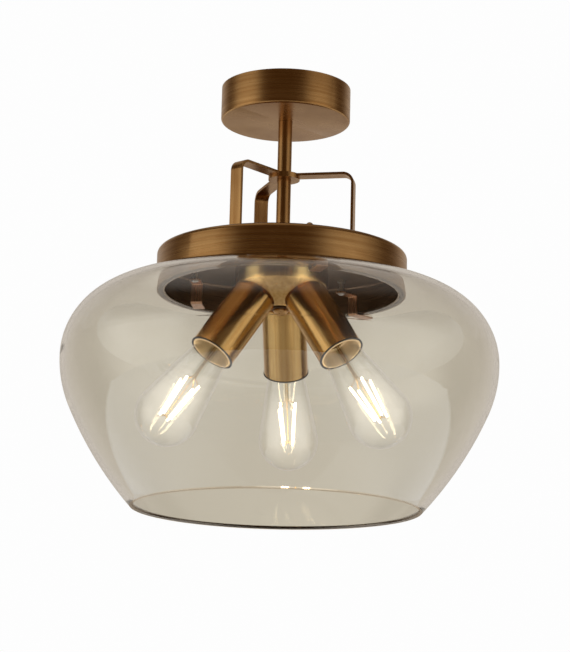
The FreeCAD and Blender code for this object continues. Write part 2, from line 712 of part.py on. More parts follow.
# ---------------------------------------------------------------- lamp hub
def lamp_hub():
    """A cast cup under the gallery: a round wall and a domed end about the point where the lamps' axes meet.

    Each lampholder tube stands on a flat seat cut into the dome, with a flat spot for its nut inside.
    """
    apex = vector(0, 0, -LAMP_APEX_DROP)
    outside = round_bar(HUB_RADIUS, HUB_BOTTOM, GALLERY_INSIDE)
    outside = outside.common(Part.makeSphere(HUB_DOME_RADIUS, apex))
    cavity = round_bar(HUB_RADIUS - HUB_WALL, HUB_BOTTOM, GALLERY_INSIDE + OVERRUN)
    cavity = cavity.common(Part.makeSphere(HUB_INSIDE_RADIUS, apex))
    hub = outside.cut(cavity)
    for lamp in LAMP_AZIMUTHS:
        seat = round_bar(POCKET_RADIUS, POCKET_FLOOR, TUBE_MOUTH)
        spot = round_bar(HUB_SPOT_RADIUS, HUB_INSIDE_RADIUS - M10_NUT_HEIGHT, HUB_INSIDE_RADIUS)
        hole = round_bar(M10_RADIUS + PASS_GAP, HUB_INSIDE_RADIUS - OVERRUN, POCKET_FLOOR + OVERRUN)
        for cutter in (seat, spot, hole):
            hub = hub.cut(on_lamp_axis(cutter, lamp))
    return hub.cut(round_bar(M10_RADIUS + PASS_GAP, HUB_BOTTOM - OVERRUN, GALLERY_INSIDE))


def centre_stud_end():
    return HUB_BOTTOM - HUB_WASHER_HEIGHT - HUB_CAP_NUT_HEIGHT / 2


def centre_stud():
    """Hollow threaded tube from the rod's end through gallery and hub."""
    return ring(M10_RADIUS, M10_BORE, centre_stud_end(), GALLERY_TOP + NIPPLE_ENGAGE)


def hub_washer():
    return ring(HUB_WASHER_RADIUS, M10_RADIUS + PASS_GAP, HUB_BOTTOM - HUB_WASHER_HEIGHT, HUB_BOTTOM)


def hub_cap_nut():
    """The domed nut below the hub, which holds the hub and the gallery up."""
    top = HUB_BOTTOM - HUB_WASHER_HEIGHT
    nut = dome(HUB_CAP_NUT_RADIUS, HUB_CAP_NUT_HEIGHT, 0)
    nut.rotate(ORIGIN, vector(1, 0, 0), 180.0)
    nut.translate(vector(0, 0, top))
    return nut.cut(round_bar(M10_RADIUS + THREAD_GAP, centre_stud_end() - THREAD_GAP, top + OVERRUN))


# ---------------------------------------------------------------- lampholders
def holder_tube():
    tube = ring(TUBE_RADIUS, TUBE_RADIUS - TUBE_WALL, TUBE_START, TUBE_MOUTH)
    end = ring(TUBE_RADIUS - TUBE_WALL / 2, M10_RADIUS + PASS_GAP, TUBE_START, TUBE_START + TUBE_END)
    return tube.fuse(end).removeSplitter()


def mouth_ring():
    outer = TUBE_RADIUS + MOUTH_RING_LIP
    return ring(outer, HOLDER_RADIUS + PASS_GAP, TUBE_MOUTH, TUBE_MOUTH + MOUTH_RING_GAUGE)


def lampholder_body():
    """The insulating sleeve in the tube: a wide skirt, a seat for the shell and a thick back."""
    skirt = HOLDER_RADIUS - HOLDER_WALL
    shell_seat = SHELL_OUTER + THREAD_GAP
    nipple_seat = M10_RADIUS + THREAD_GAP
    nipple_end = HOLDER_BACK + NIPPLE_IN_HOLDER
    sleeve = spun_polygon([
        (nipple_seat, HOLDER_BACK),
        (HOLDER_RADIUS, HOLDER_BACK),
        (HOLDER_RADIUS, HOLDER_MOUTH),
        (skirt, HOLDER_MOUTH),
        (skirt, SHELL_END),
        (shell_seat, SHELL_END),
        (shell_seat, SHELL_START),
        (M10_BORE, SHELL_START),
        (M10_BORE, nipple_end),
        (nipple_seat, nipple_end),
    ])
    return sleeve


def screw_shell():
    """The brass shell that takes the lamp's screw cap; the thread is drawn as a plain cylinder."""
    shell = ring(SHELL_OUTER, SHELL_RADIUS, SHELL_START, SHELL_END)
    base = ring(SHELL_RADIUS + SHELL_WALL / 2, SHELL_BASE_HOLE, SHELL_START, SHELL_START + SHELL_WALL)
    return shell.fuse(base).removeSplitter()


def centre_contact():
    """The sprung tongue under the lamp's tip, drawn as a button on a pin in the holder's bore."""
    button = round_bar(CONTACT_RADIUS, SHELL_START, SHELL_START + CONTACT_HEIGHT)
    pin_start = HOLDER_BACK + NIPPLE_IN_HOLDER
    pin = round_bar(M10_BORE - THREAD_GAP, pin_start, SHELL_START + CONTACT_HEIGHT / 2)
    return button.fuse(pin).removeSplitter()


def holder_nipples():
    """Hollow threaded tubes that join the holders to the hub."""
    start = HUB_INSIDE_RADIUS - M10_NUT_HEIGHT - 2 * THREAD_GAP
    nipple = ring(M10_RADIUS, M10_BORE, start, HOLDER_BACK + NIPPLE_IN_HOLDER)
    return joined([on_lamp_axis(nipple, lamp) for lamp in LAMP_AZIMUTHS])


def holder_nuts():
    top = HUB_INSIDE_RADIUS
    nut = hex_nut(M10_NUT_FLATS, M10_RADIUS + THREAD_GAP, top - M10_NUT_HEIGHT, top)
    return joined([on_lamp_axis(nut, lamp) for lamp in LAMP_AZIMUTHS])


def tube_washers():
    """Dark washers between the hub's seats and the tubes' ends."""
    washer = ring(TUBE_WASHER_RADIUS, M10_RADIUS + PASS_GAP, POCKET_FLOOR, TUBE_START)
    return joined([on_lamp_axis(washer, lamp) for lamp in LAMP_AZIMUTHS])


# ---------------------------------------------------------------- filament lamps
def bulb_side(inset):
    """The bulb's side at an inset from its outside: neck, flare, cone tangent to the round end."""
    ball_centre = BULB_END - BULB_RADIUS
    flare_end = CAP_RIM + NECK_FLARE_LENGTH
    run = ball_centre - flare_end
    # The cone from the flare touches the ball where the ball's radius is square to it.
    reach = math.hypot(run, NECK_FLARE_RADIUS)
    lean = math.pi / 2 - math.acos(BULB_RADIUS / reach) - math.atan2(NECK_FLARE_RADIUS, run)
    ball = BULB_RADIUS - inset
    touch_point = profile_point(ball * math.cos(lean), ball_centre - ball * math.sin(lean))
    middle_angle = (math.pi / 2 - lean) / 2
    middle = profile_point(ball * math.cos(middle_angle), ball_centre + ball * math.sin(middle_angle))
    neck_start = profile_point(NECK_RADIUS - inset, CAP_RIM - NECK_IN_CAP)
    neck_end = profile_point(NECK_RADIUS - inset, CAP_RIM)
    flare = profile_point(NECK_FLARE_RADIUS - inset, flare_end)
    end = profile_point(0, ball_centre + ball)
    return [
        line(neck_start, neck_end),
        line(neck_end, flare),
        line(flare, touch_point),
        arc(touch_point, middle, end),
    ]


def bulb_solid(inset):
    side = bulb_side(inset)
    foot = profile_point(0, CAP_RIM - NECK_IN_CAP)
    return spun(side + [line(edge_end(side[-1]), foot), line(foot, edge_start(side[0]))])


def bulb_envelope():
    """The clear glass bulb with the small sealed tip at its end."""
    tip = dome(BULB_TIP_RADIUS, BULB_TIP_HEIGHT + BULB_WALL / 2, BULB_END - BULB_WALL / 2)
    hollow = bulb_solid(BULB_WALL)
    return bulb_solid(0.0).cut(hollow).fuse(tip).removeSplitter()


def bulb_cap():
    """The metal screw cap with its tapered insulator and tip."""
    start = CAP_RIM - CAP_LENGTH
    shoulder = start + CAP_TIP_LENGTH
    inside = NECK_RADIUS + PASS_GAP
    return spun_polygon([
        (0, start),
        (CAP_TIP_RADIUS, start),
        (CAP_RADIUS, shoulder),
        (CAP_RADIUS, CAP_RIM),
        (inside, CAP_RIM),
        (inside, shoulder + CAP_WALL),
        (0, start + CAP_WALL + CAP_TIP_LENGTH / 2),
    ])


def bulb_stem():
    """The glass mount: a flare sealed into the neck, a tube and a button, with the filaments' leads."""
    foot = CAP_RIM - NECK_IN_CAP
    top = CAP_RIM + STEM_LENGTH
    stem = spun_polygon([
        (0, foot),
        (STEM_FLARE_RADIUS, foot),
        (STEM_RADIUS, foot + STEM_FLARE_RADIUS),
        (STEM_RADIUS, top - STEM_RADIUS),
        (STEM_BUTTON_RADIUS, top),
        (0, top),
    ])
    end = filament_end()
    mast = round_bar(LEAD_RADIUS, top - STEM_RADIUS, end)
    solid = stem.fuse(mast)
    for index in range(FILAMENT_COUNT):
        top_end = filament_point(index, FILAMENT_TOP_SPREAD, CAP_RIM + FILAMENT_START)
        low_end = filament_point(index, FILAMENT_END_SPREAD, end)
        solid = solid.fuse(rod_between(vector(0, 0, top - STEM_RADIUS / 2), top_end, LEAD_RADIUS))
        solid = solid.fuse(rod_between(vector(0, 0, end - LEAD_RADIUS), low_end, LEAD_RADIUS))
    return solid


def filament_end():
    return CAP_RIM + FILAMENT_START + FILAMENT_LENGTH


def filament_point(index, spread, height):
    angle = math.radians(FULL_TURN * index / FILAMENT_COUNT + FILAMENT_TURN)
    return vector(spread * math.cos(angle), spread * math.sin(angle), height)


def rod_between(start, end, radius):
    way = end - start
    return Part.makeCylinder(radius, way.Length, start, way)


def bulb_filaments():
    """Straight light-emitting sticks, closer together at the bulb's end than at its neck."""
    sticks = []
    for index in range(FILAMENT_COUNT):
        top = filament_point(index, FILAMENT_TOP_SPREAD, CAP_RIM + FILAMENT_START)
        low = filament_point(index, FILAMENT_END_SPREAD, filament_end())
        gap = (low - top).normalize() * (LEAD_RADIUS + PASS_GAP / 2)
        sticks.append(rod_between(top + gap, low - gap, FILAMENT_RADIUS))
    return joined(sticks)


# ---------------------------------------------------------------- all the pieces
def pieces():
    """Every node's name and shape."""
    nodes = {
        "ceiling_bracket": ceiling_bracket(),
        "bracket_bush": bracket_bush(),
        "top_nipple": top_nipple(),
        "ceiling_rose": ceiling_rose(),
        "rose_side_screws": rose_side_screws(),
        "terminal_block": terminal_block(),
        "terminal_screws": terminal_screws(),
        "down_rod": down_rod(),
        "spider_collar": spider_collar(),
        "collar_grub_screw": collar_grub_screw(),
        "strap_collar_screws": strap_collar_screws(),
        "strap_foot_screws": strap_foot_screws(),
        "strap_foot_nuts": strap_foot_nuts(),
        "gallery_pan": gallery_pan(),
        "clip_screws": clip_screws(),
        "clip_plate_nuts": clip_plate_nuts(),
        "clip_lock_nuts": clip_lock_nuts(),
        "clip_cap_nuts": clip_cap_nuts(),
        "glass_shade": glass_shade(),
        "lamp_hub": lamp_hub(),
        "centre_stud": centre_stud(),
        "hub_washer": hub_washer(),
        "hub_cap_nut": hub_cap_nut(),
        "holder_nipples": holder_nipples(),
        "holder_nuts": holder_nuts(),
        "tube_washers": tube_washers(),
    }
    for name, azimuth in STRAP_AZIMUTHS.items():
        nodes["spider_strap_" + name] = spider_strap(azimuth)
    for name in CLIP_AZIMUTHS:
        nodes["glass_clip_" + name] = glass_clip(name)
    lamp_pieces = {
        "holder_tube": holder_tube(),
        "mouth_ring": mouth_ring(),
        "lampholder_body": lampholder_body(),
        "screw_shell": screw_shell(),
        "centre_contact": centre_contact(),
        "bulb_envelope": bulb_envelope(),
        "bulb_cap": bulb_cap(),
        "bulb_stem": bulb_stem(),
        "bulb_filaments": bulb_filaments(),
    }
    for lamp in LAMP_AZIMUTHS:
        for name, shape in lamp_pieces.items():
            nodes[name + "_" + lamp] = on_lamp_axis(shape, lamp)
    return nodes


def main():
    os.makedirs("parts", exist_ok=True)
    for name, shape in pieces().items():
        shape.exportStep(os.path.join("parts", name + ".step"))
        state = "valid" if shape.isValid() else "INVALID"
        print(name, len(shape.Solids), "solids", round(shape.Volume, 1), "mm3", state)


main()
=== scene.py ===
"""Semi flush ceiling light: finishes, glass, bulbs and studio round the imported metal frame."""

import json
import math

import bmesh
import bpy
from mathutils import Matrix, Vector


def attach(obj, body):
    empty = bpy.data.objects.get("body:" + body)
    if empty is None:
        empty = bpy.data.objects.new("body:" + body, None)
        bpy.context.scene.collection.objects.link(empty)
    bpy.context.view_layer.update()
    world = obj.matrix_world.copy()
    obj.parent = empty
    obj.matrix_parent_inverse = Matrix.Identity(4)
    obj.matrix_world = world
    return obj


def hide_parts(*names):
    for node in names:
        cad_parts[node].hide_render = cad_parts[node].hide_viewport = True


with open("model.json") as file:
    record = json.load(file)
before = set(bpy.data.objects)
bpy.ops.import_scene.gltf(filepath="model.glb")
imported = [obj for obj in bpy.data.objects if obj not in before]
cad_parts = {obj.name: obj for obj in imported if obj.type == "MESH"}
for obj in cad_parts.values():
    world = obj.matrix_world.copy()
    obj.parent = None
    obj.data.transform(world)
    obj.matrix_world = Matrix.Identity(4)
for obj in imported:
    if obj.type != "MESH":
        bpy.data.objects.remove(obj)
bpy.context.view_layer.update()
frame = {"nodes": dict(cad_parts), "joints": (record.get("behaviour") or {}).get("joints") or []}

bl_info = {
    "name": "Semi flush ceiling light",
    "version": (1, 0, 0),
    "blender": (4, 5, 0),
    "location": "3D View > Sidebar > Ceiling light",
    "description": "Dresses the ceiling light's metal frame with finishes, a glass shade and lit bulbs",
    "category": "Object",
}

MM = 0.001
FULL_TURN = 2 * math.pi
HALF_TURN = math.pi
QUARTER_TURN = math.pi / 2
LAMPS = ("left", "right", "back")
CLIPS = ("front", "right", "left")

# ---------------------------------------------------------------- sizes in millimetres
GALLERY_RIM = -191.0
PAN_INSIDE = 113.6
PAN_UNDERSIDE = -160.2
LAMP_APEX = -160.7
# The shade's side from its hole to its rim: each arc's radius, and its turn in degrees.
SHADE_ARCS = ((127.0, 19.1), (67.4, 70.9), (107.8, 24.2), (338.0, 18.1))

CAP_RIM = 104.2
CAP_LENGTH = 26.0
CAP_RADIUS = 13.1
CAP_TIP_LENGTH = 4.0
CAP_START = CAP_RIM - CAP_LENGTH
CAP_SHOULDER = CAP_START + CAP_TIP_LENGTH
THREAD_DEPTH = 0.75
THREAD_SINK = 0.05
THREAD_LENGTH = 14.2
THREAD_TURNS = 3.9
THREAD_BEAD = 0.72
THREAD_START = 1.9
CAP_CORE = CAP_RADIUS - THREAD_DEPTH
# Half sections of (radius, height), each with its heights from the place in its name.
CAP_FROM_SHOULDER = ((0.0, -0.4), (8.6, -0.4), (CAP_CORE, 1.6))
CAP_FROM_RIM = ((CAP_CORE, -4.5), (CAP_RADIUS - 0.2, -3.6), (CAP_RADIUS, -0.5), (CAP_RADIUS - 0.4, 0.0),
                (12.45, -0.1), (12.3, -2.0))
CAP_INSIDE_FROM_SHOULDER = ((12.2, 2.0), (0.0, 1.0))
INSULATOR_FROM_START = ((0.0, 0.9), (4.7, 0.9))
INSULATOR_FROM_SHOULDER = ((8.4, -0.5), (0.0, -0.5))
CONTACT_FROM_START = ((0.0, 0.0), (3.2, 0.05), (4.3, 0.5), (4.5, 0.85), (0.0, 0.85))
TIP_FROM_END = ((2.6, -0.12), (1.9, 0.1), (1.55, 0.6), (1.2, 1.1), (0.6, 1.45), (0.0, 1.55))

NECK_RADIUS = 12.3
NECK_IN_CAP = 5.0
NECK_FLARE_RADIUS = 14.6
NECK_FLARE_LENGTH = 3.0
NECK_BEND_FROM_RIM = ((0.0, -0.6), (0.4, 0.7))
NECK_BEFORE_FLARE = (-0.5, -0.9)
STEM_RADIUS = 3.6
STEM_BUTTON_RADIUS = 2.2
STEM_FLARE_RADIUS = 11.4
STEM_FLARE_EDGE = 0.8
STEM_FLARE_ROUNDING = 0.2
STEM_FLARE_END = 14.0
STEM_FLARE_CURVE = 2.2
STEM_FOOT = CAP_RIM - NECK_IN_CAP
STEM_FROM_TOP = (
    (STEM_RADIUS, -9.0), (STEM_RADIUS + 0.5, -6.5), (STEM_RADIUS - 0.2, -4.0), (STEM_BUTTON_RADIUS, -2.6),
    (STEM_BUTTON_RADIUS + 0.7, -1.4), (STEM_BUTTON_RADIUS, -0.3), (0.0, 0.0))

LEAD_RADIUS = 0.35
# Each lead's way as (distance from the axis, height), from the stem's foot or top or the sticks' ends.
LEAD_FROM_FOOT = ((1.1, 6.0),)
LEAD_FROM_TOP = ((1.2, -7.0), (2.0, -1.5), (6.5, 2.2))
LEAD_FROM_END = ((3.2, 0.9), (0.0, -0.3))
MIDDLE_WIRE_IN_STEM = 4.0
MIDDLE_WIRE_PAST_END = 0.4
FILAMENT_COUNT = 4
FILAMENT_TURN = 45.0
BEAD_RADIUS = 0.95
BEAD_LENGTH = 1.7
COAT_RADIUS = 1.9
COAT_END = 0.5
COAT_GLOW_SHARE = 0.25
# Where the painted glow on the bulb's glass is centred, from the cap's rim.
PAINTED_GLOW_HEIGHT = CAP_RIM + 72
LIGHT_HEIGHT = CAP_RIM + 68

# ---------------------------------------------------------------- mesh fineness
ROUND_STEPS = 192
BULB_STEPS = 96
STEM_STEPS = 48
ARC_STEPS = 22
LIP_STEPS = 12
CONE_STEPS = 10
FLARE_STEPS = 12
POLE_RADIUS = 1e-6
MERGE_DISTANCE = 0.000002
SMOOTH_ANGLE = math.radians(32)
BEVEL_ANGLE = math.radians(40)

# ---------------------------------------------------------------- textures (cycles per metre) and glass
GRAIN_ALONG = (1500, 1500, 20)
GRAIN_ROUND = (22, 22, 1700)
STREAKS_ALONG = (330, 330, 7)
STREAKS_ROUND = (6, 6, 330)
CLOUD_SCALE = 26.0
STREAK_SHARE = 0.62
CLOUD_SHARE = 0.38
MARKS_START = 0.36
MARKS_END = 0.64
METAL_MOTTLE = 420.0
METAL_PITS = METAL_MOTTLE * 3.1
PLASTIC_MOTTLE = 160.0
PLASTIC_PITS = 1500.0
STICK_GRAIN = 900.0
SHADE_RIPPLE = 7.0
SHADE_RIPPLE_STRETCH = (1, 1, 2.4)
LIP_RIPPLE = 30.0
BULB_RIPPLE = 45.0
GLASS_INDEX = 1.46
GLASS_SHADOW = (0.96, 0.95, 0.93)
LIP_TINT = (0.93, 0.87, 0.79)
LIP_SHEEN = (1.0, 0.9, 0.78)
BULB_TINT = (0.985, 0.985, 0.98)
STEM_TINT = (0.95, 0.95, 0.93)
# Darker mottle of the hub washer's colour, which is partly painted shadow of the gap under the hub.
WASHER_GAP_SHADE_DARK = (0.06, 0.035, 0.02)
GOLD_SHADE = (0.66, 0.44, 0.16)
# The painted glow on the bulb's glass round the lit sticks: its falloff, strength and colour.
PAINTED_GLOW_SCALE = 20.0
PAINTED_GLOW_STRENGTH = 0.13
PAINTED_GLOW_COLOUR = (1.0, 0.93, 0.8, 1)
MIRROR_REACH = 0.05


# ---------------------------------------------------------------- properties
def colour_setting(name, description, default):
    return bpy.props.FloatVectorProperty(
        name=name, description=description, default=default, size=3, min=0, max=1, subtype="COLOR")


def length_setting(name, description, millimetres):
    return bpy.props.FloatProperty(
        name=name, description=description, default=millimetres * MM, unit="LENGTH")


def power_setting(name, description, watts):
    return bpy.props.FloatProperty(name=name, description=description, default=watts, unit="POWER")


def level_setting(name, description, default):
    return bpy.props.FloatProperty(name=name, description=description, default=default, min=0)


class FinishColours(bpy.types.PropertyGroup):
    """Colours of the lamp's finishes."""

    brass: colour_setting("Antique brass", "Lit colour of the brushed brass", (0.5, 0.3, 0.125))
    brass_shade: colour_setting(
        "Brass patina", "Darker colour between the brush marks", (0.34, 0.175, 0.06))
    tube_brass: colour_setting(
        "Tube brass", "Lit colour of the hub and the lampholder tubes", (0.6, 0.4, 0.16))
    tube_patina: colour_setting(
        "Tube patina", "Darker colour between the brush marks of the tubes", (0.46, 0.27, 0.09))
    # Darker colour for the pan's inside: painted shade in the recess under the gallery.
    pan_inside: colour_setting("Pan inside", "Dull colour inside the gallery pan", (0.2, 0.13, 0.08))
    copper: colour_setting("Clip copper", "Colour of the three glass clips", (0.6, 0.36, 0.22))
    zinc: colour_setting("Zinc", "Colour of the plated screws, nuts and bracket", (0.56, 0.54, 0.5))
    bright_brass: colour_setting(
        "Bright brass", "Colour of the caps, shells and terminals", (0.8, 0.62, 0.33))
    # The washer's dark colour is partly its own darker tone and partly painted shadow of the gap between hub
    # and nut.
    bronze: colour_setting("Dark bronze", "Colour of the washer under the hub", (0.1, 0.06, 0.03))
    cream: colour_setting("Holder cream", "Colour of the insulating bodies", (0.78, 0.62, 0.4))
    black: colour_setting("Black", "Colour of the mouth rings and washers", (0.02, 0.018, 0.016))
    gold: colour_setting("Gold leads", "Colour of the wires in the bulbs", (0.86, 0.62, 0.26))
    smoke: colour_setting(
        "Shade tint", "What the outer face of the shade's glass lets out", (0.56, 0.51, 0.405))
    glow: colour_setting("Filament glow", "Colour of the lit sticks", (1.0, 0.8, 0.5))


class ShadeSizes(bpy.types.PropertyGroup):
    """Sizes of the glass shade."""

    hole_radius: length_setting("Hole radius", "Radius of the hole under the gallery", 108.5)
    flat_radius: length_setting(
        "Flat radius", "Where the flat round the hole turns into the crown", 111.8)
    wall: length_setting("Wall", "Thickness of the glass", 3.8)


class BulbSizes(bpy.types.PropertyGroup):
    """Sizes of the filament bulbs."""

    radius: length_setting("Bulb radius", "Radius of the bulb's round end", 28.5)
    length: length_setting("Glass length", "From the cap's rim to the round end", 116.0)
    wall: length_setting("Glass wall", "Thickness of the bulb's glass", 0.8)
    filament_start: length_setting(
        "Filament start", "From the cap's rim to the sticks' upper ends", 51.0)
    filament_length: length_setting(
        "Filament length", "Length of each lit stick along the bulb", 38.0)
    upper_spread: length_setting("Upper spread", "From the bulb's axis to the sticks' upper ends", 10.0)
    lower_spread: length_setting("Lower spread", "From the bulb's axis to the sticks' lower ends", 6.0)
    stem_length: length_setting("Stem length", "From the cap's rim to the glass button", 46.0)
    bead_count: bpy.props.IntProperty(
        name="Beads", description="Light-emitting beads along each stick", default=19, min=2)


class StudioSettings(bpy.types.PropertyGroup):
    """Strengths of the studio lights."""

    overhead_lamp: power_setting(
        "Overhead lamp", "Power of the large soft lamp above the front", 18.0)
    left_glow: level_setting("Left glow", "Brightness of the soft box at the left", 1.15)
    right_glow: level_setting("Right glow", "Brightness of the soft box at the right", 0.95)
    top_glow: level_setting("Top glow", "Brightness of the ceiling's light in the metal", 0.3)
    wall_glow: level_setting("Wall glow", "Brightness of the wall behind, seen in the metal", 0.5)
    bulb_light: power_setting(
        "Bulb light", "Power of each bulb's light on the brass tubes and hub", 0.25)
    holder_light: power_setting("Holder light", "Power of each bulb's light in its lampholder", 0.12)
    hub_sheen: power_setting("Hub sheen", "Power of the two soft lamps that only the hub mirrors", 7.5)
    tube_sheen: power_setting("Tube sheen", "Power of the soft lamp that only the tubes mirror", 5.5)
    filament_strength: level_setting("Filament strength", "Brightness of the lit sticks", 14.0)
    room_level: level_setting(
        "Room level", "Brightness of the room's dark corners seen in the metal", 0.1)


# ---------------------------------------------------------------- materials
def new_node(tree, kind, values):
    """A new node, with each value in the field or the input of that name, or joined to it."""
    node = tree.nodes.new(kind)
    for key, value in values.items():
        if hasattr(node, key):
            setattr(node, key, value)
        elif isinstance(value, bpy.types.NodeSocket):
            tree.links.new(value, node.inputs[key.replace("_", " ")])
        else:
            node.inputs[key.replace("_", " ")].default_value = value
    return node


class NodeSheet:
    """The node tree of a material or a world, with short ways to add and join nodes."""

    def __init__(self, name, store="materials", output="OutputMaterial"):
        self.owner = getattr(bpy.data, store).new(name)
        self.owner.use_nodes = True
        self.tree = self.owner.node_tree
        self.tree.nodes.clear()
        self.output = self.add(output)

    def add(self, kind, **values):
        return new_node(self.tree, "ShaderNode" + kind, values)

    def finish(self, shader):
        self.tree.links.new(shader.outputs[0], self.output.inputs["Surface"])
        return self.owner

    def number(self, operation, *values):
        """One step of arithmetic on sockets and plain numbers."""
        node = self.add("Math", operation=operation)
        for socket, value in zip(node.inputs, values):
            if isinstance(value, float):
                socket.default_value = value
            else:
                self.tree.links.new(value, socket)
        return node.outputs[0]

    def spread(self, value, low, high, start=0.0, end=1.0):
        """A value that runs from low to high while its source runs from start to end."""
        node = self.add("MapRange", Value=value, From_Min=start, From_Max=end, To_Min=low, To_Max=high)
        return node.outputs["Result"]

    def blend(self, share, first, second):
        """A colour between two others."""
        node = self.add("Mix", data_type="RGBA", Factor=share)
        for name, colour in (("A", first), ("B", second)):
            socket = next(s for s in node.inputs if s.name == name and s.type == "RGBA")
            socket.default_value = (*colour, 1)
        return next(s for s in node.outputs if s.type == "RGBA")

    def mix(self, share, first, second):
        """A shader between two others."""
        node = self.add("MixShader", Fac=share)
        self.tree.links.new(first.outputs[0], node.inputs[1])
        self.tree.links.new(second.outputs[0], node.inputs[2])
        return node

    def sum(self, first, second):
        """Two shaders at once."""
        node = self.add("AddShader")
        self.tree.links.new(first.outputs[0], node.inputs[0])
        self.tree.links.new(second.outputs[0], node.inputs[1])
        return node

    def object_position(self, turn=(0, 0, 0), scale=(1, 1, 1)):
        """The piece's own coordinates, turned onto an axis and stretched into a grain."""
        place = self.add("TexCoord").outputs["Object"]
        turned = self.add("Mapping", Vector=place, Rotation=turn)
        return self.add("Mapping", Vector=turned.outputs[0], Scale=scale).outputs[0]

    def noise(self, place, scale=1.0, detail=2.0):
        node = self.add("TexNoise", Vector=place, Scale=scale, Detail=detail, Roughness=0.55)
        return node.outputs["Fac"]

    def bump(self, height, strength, depth):
        return self.add("Bump", Height=height, Strength=strength, Distance=depth).outputs["Normal"]

    def facing(self, **normal):
        """0 where the surface is seen square on, and 1 where it turns away."""
        return self.add("LayerWeight", Blend=0.5, **normal).outputs["Facing"]

    def square_on(self, facing, sharpness):
        """1 where the surface is seen square on, falling towards its edges."""
        return self.number("POWER", self.number("SUBTRACT", 1.0, facing), sharpness)

    def sight(self):
        """Two shares of a ray: seen straight or through glass, and turned round by a mirror."""
        path = self.add("LightPath").outputs
        mirrored = self.number("MINIMUM", path["Glossy Depth"], 1.0)
        straight = self.number("SUBTRACT", 1.0, mirrored)
        seen = self.number("MAXIMUM", path["Is Camera Ray"], path["Is Transmission Ray"])
        return self.number("MULTIPLY", seen, straight), mirrored


def brushed_metal(name, light, dark, turn=(0, 0, 0), along=True, roughness=(0.26, 0.4)):
    """Brushed metal with its grain along or round an axis."""
    sheet = NodeSheet(name)
    grain, streaks = (GRAIN_ALONG, STREAKS_ALONG) if along else (GRAIN_ROUND, STREAKS_ROUND)
    fine = sheet.noise(sheet.object_position(turn, grain))
    broad = sheet.noise(sheet.object_position(turn, streaks), detail=3.0)
    cloud = sheet.noise(sheet.object_position(turn), CLOUD_SCALE, detail=4.0)
    marks = sheet.number("MULTIPLY_ADD", broad, STREAK_SHARE, sheet.spread(cloud, 0.0, CLOUD_SHARE))
    share = sheet.spread(marks, 0.0, 1.0, MARKS_START, MARKS_END)
    return sheet.finish(sheet.add(
        "BsdfPrincipled", Metallic=1.0, Base_Color=sheet.blend(share, dark, light),
        Roughness=sheet.spread(fine, *roughness, 0.3, 0.7),
        Normal=sheet.bump(fine, strength=0.22, depth=0.00012)))


def cast_metal(name, colour, shade, roughness=(0.24, 0.42)):
    """Plated or plain metal with a fine mottle."""
    sheet = NodeSheet(name)
    place = sheet.object_position()
    mottle = sheet.noise(place, METAL_MOTTLE, detail=4.0)
    return sheet.finish(sheet.add(
        "BsdfPrincipled", Metallic=1.0,
        Base_Color=sheet.blend(sheet.spread(mottle, 0, 1, 0.35, 0.65), shade, colour),
        Roughness=sheet.spread(mottle, roughness[1], roughness[0], 0.3, 0.7),
        Normal=sheet.bump(sheet.noise(place, METAL_PITS), strength=0.15, depth=0.0001)))


def moulded_plastic(name, colour, shade):
    """Moulded plastic with a faint texture of the mould."""
    sheet = NodeSheet(name)
    place = sheet.object_position()
    mottle = sheet.noise(place, PLASTIC_MOTTLE, detail=4.0)
    return sheet.finish(sheet.add(
        "BsdfPrincipled", Coat_Weight=0.1, Base_Color=sheet.blend(mottle, shade, colour),
        Roughness=sheet.spread(mottle, 0.34, 0.52),
        Normal=sheet.bump(sheet.noise(place, PLASTIC_PITS), strength=0.12, depth=0.0001)))


def thick_glass(name, tint):
    """Refracting glass, tinted for what leaves through it, that lets the studio's light in."""
    sheet = NodeSheet(name)
    ripple = sheet.noise(sheet.object_position(scale=SHADE_RIPPLE_STRETCH), SHADE_RIPPLE, detail=1.0)
    normal = sheet.bump(ripple, strength=0.05, depth=0.002)
    entering, leaving = (
        sheet.add("BsdfGlass", Color=(*colour, 1), Roughness=0.0, IOR=GLASS_INDEX, Normal=normal)
        for colour in ((1, 1, 1), tint))
    path = sheet.add("LightPath").outputs
    straight = sheet.number("LESS_THAN", path["Glossy Depth"], 0.5)
    outwards = sheet.number("MULTIPLY", sheet.add("NewGeometry").outputs["Backfacing"], straight)
    clear = sheet.add("BsdfTransparent", Color=(*GLASS_SHADOW, 1))
    return sheet.finish(sheet.mix(path["Is Shadow Ray"], sheet.mix(outwards, entering, leaving), clear))


def lip_glass(name, tint, gloss):
    """The fire-polished lips of the shade: clear with a cream sheen where they turn away."""
    sheet = NodeSheet(name)
    bumped = sheet.bump(sheet.noise(sheet.object_position(), LIP_RIPPLE), strength=0.1, depth=0.001)
    clear = sheet.add("BsdfTransparent", Color=(*tint, 1))
    sheen = sheet.add("BsdfGlossy", Color=(*gloss, 1), Roughness=0.12, Normal=bumped)
    return sheet.finish(sheet.mix(sheet.spread(sheet.facing(Normal=bumped), 0.1, 0.5), clear, sheen))


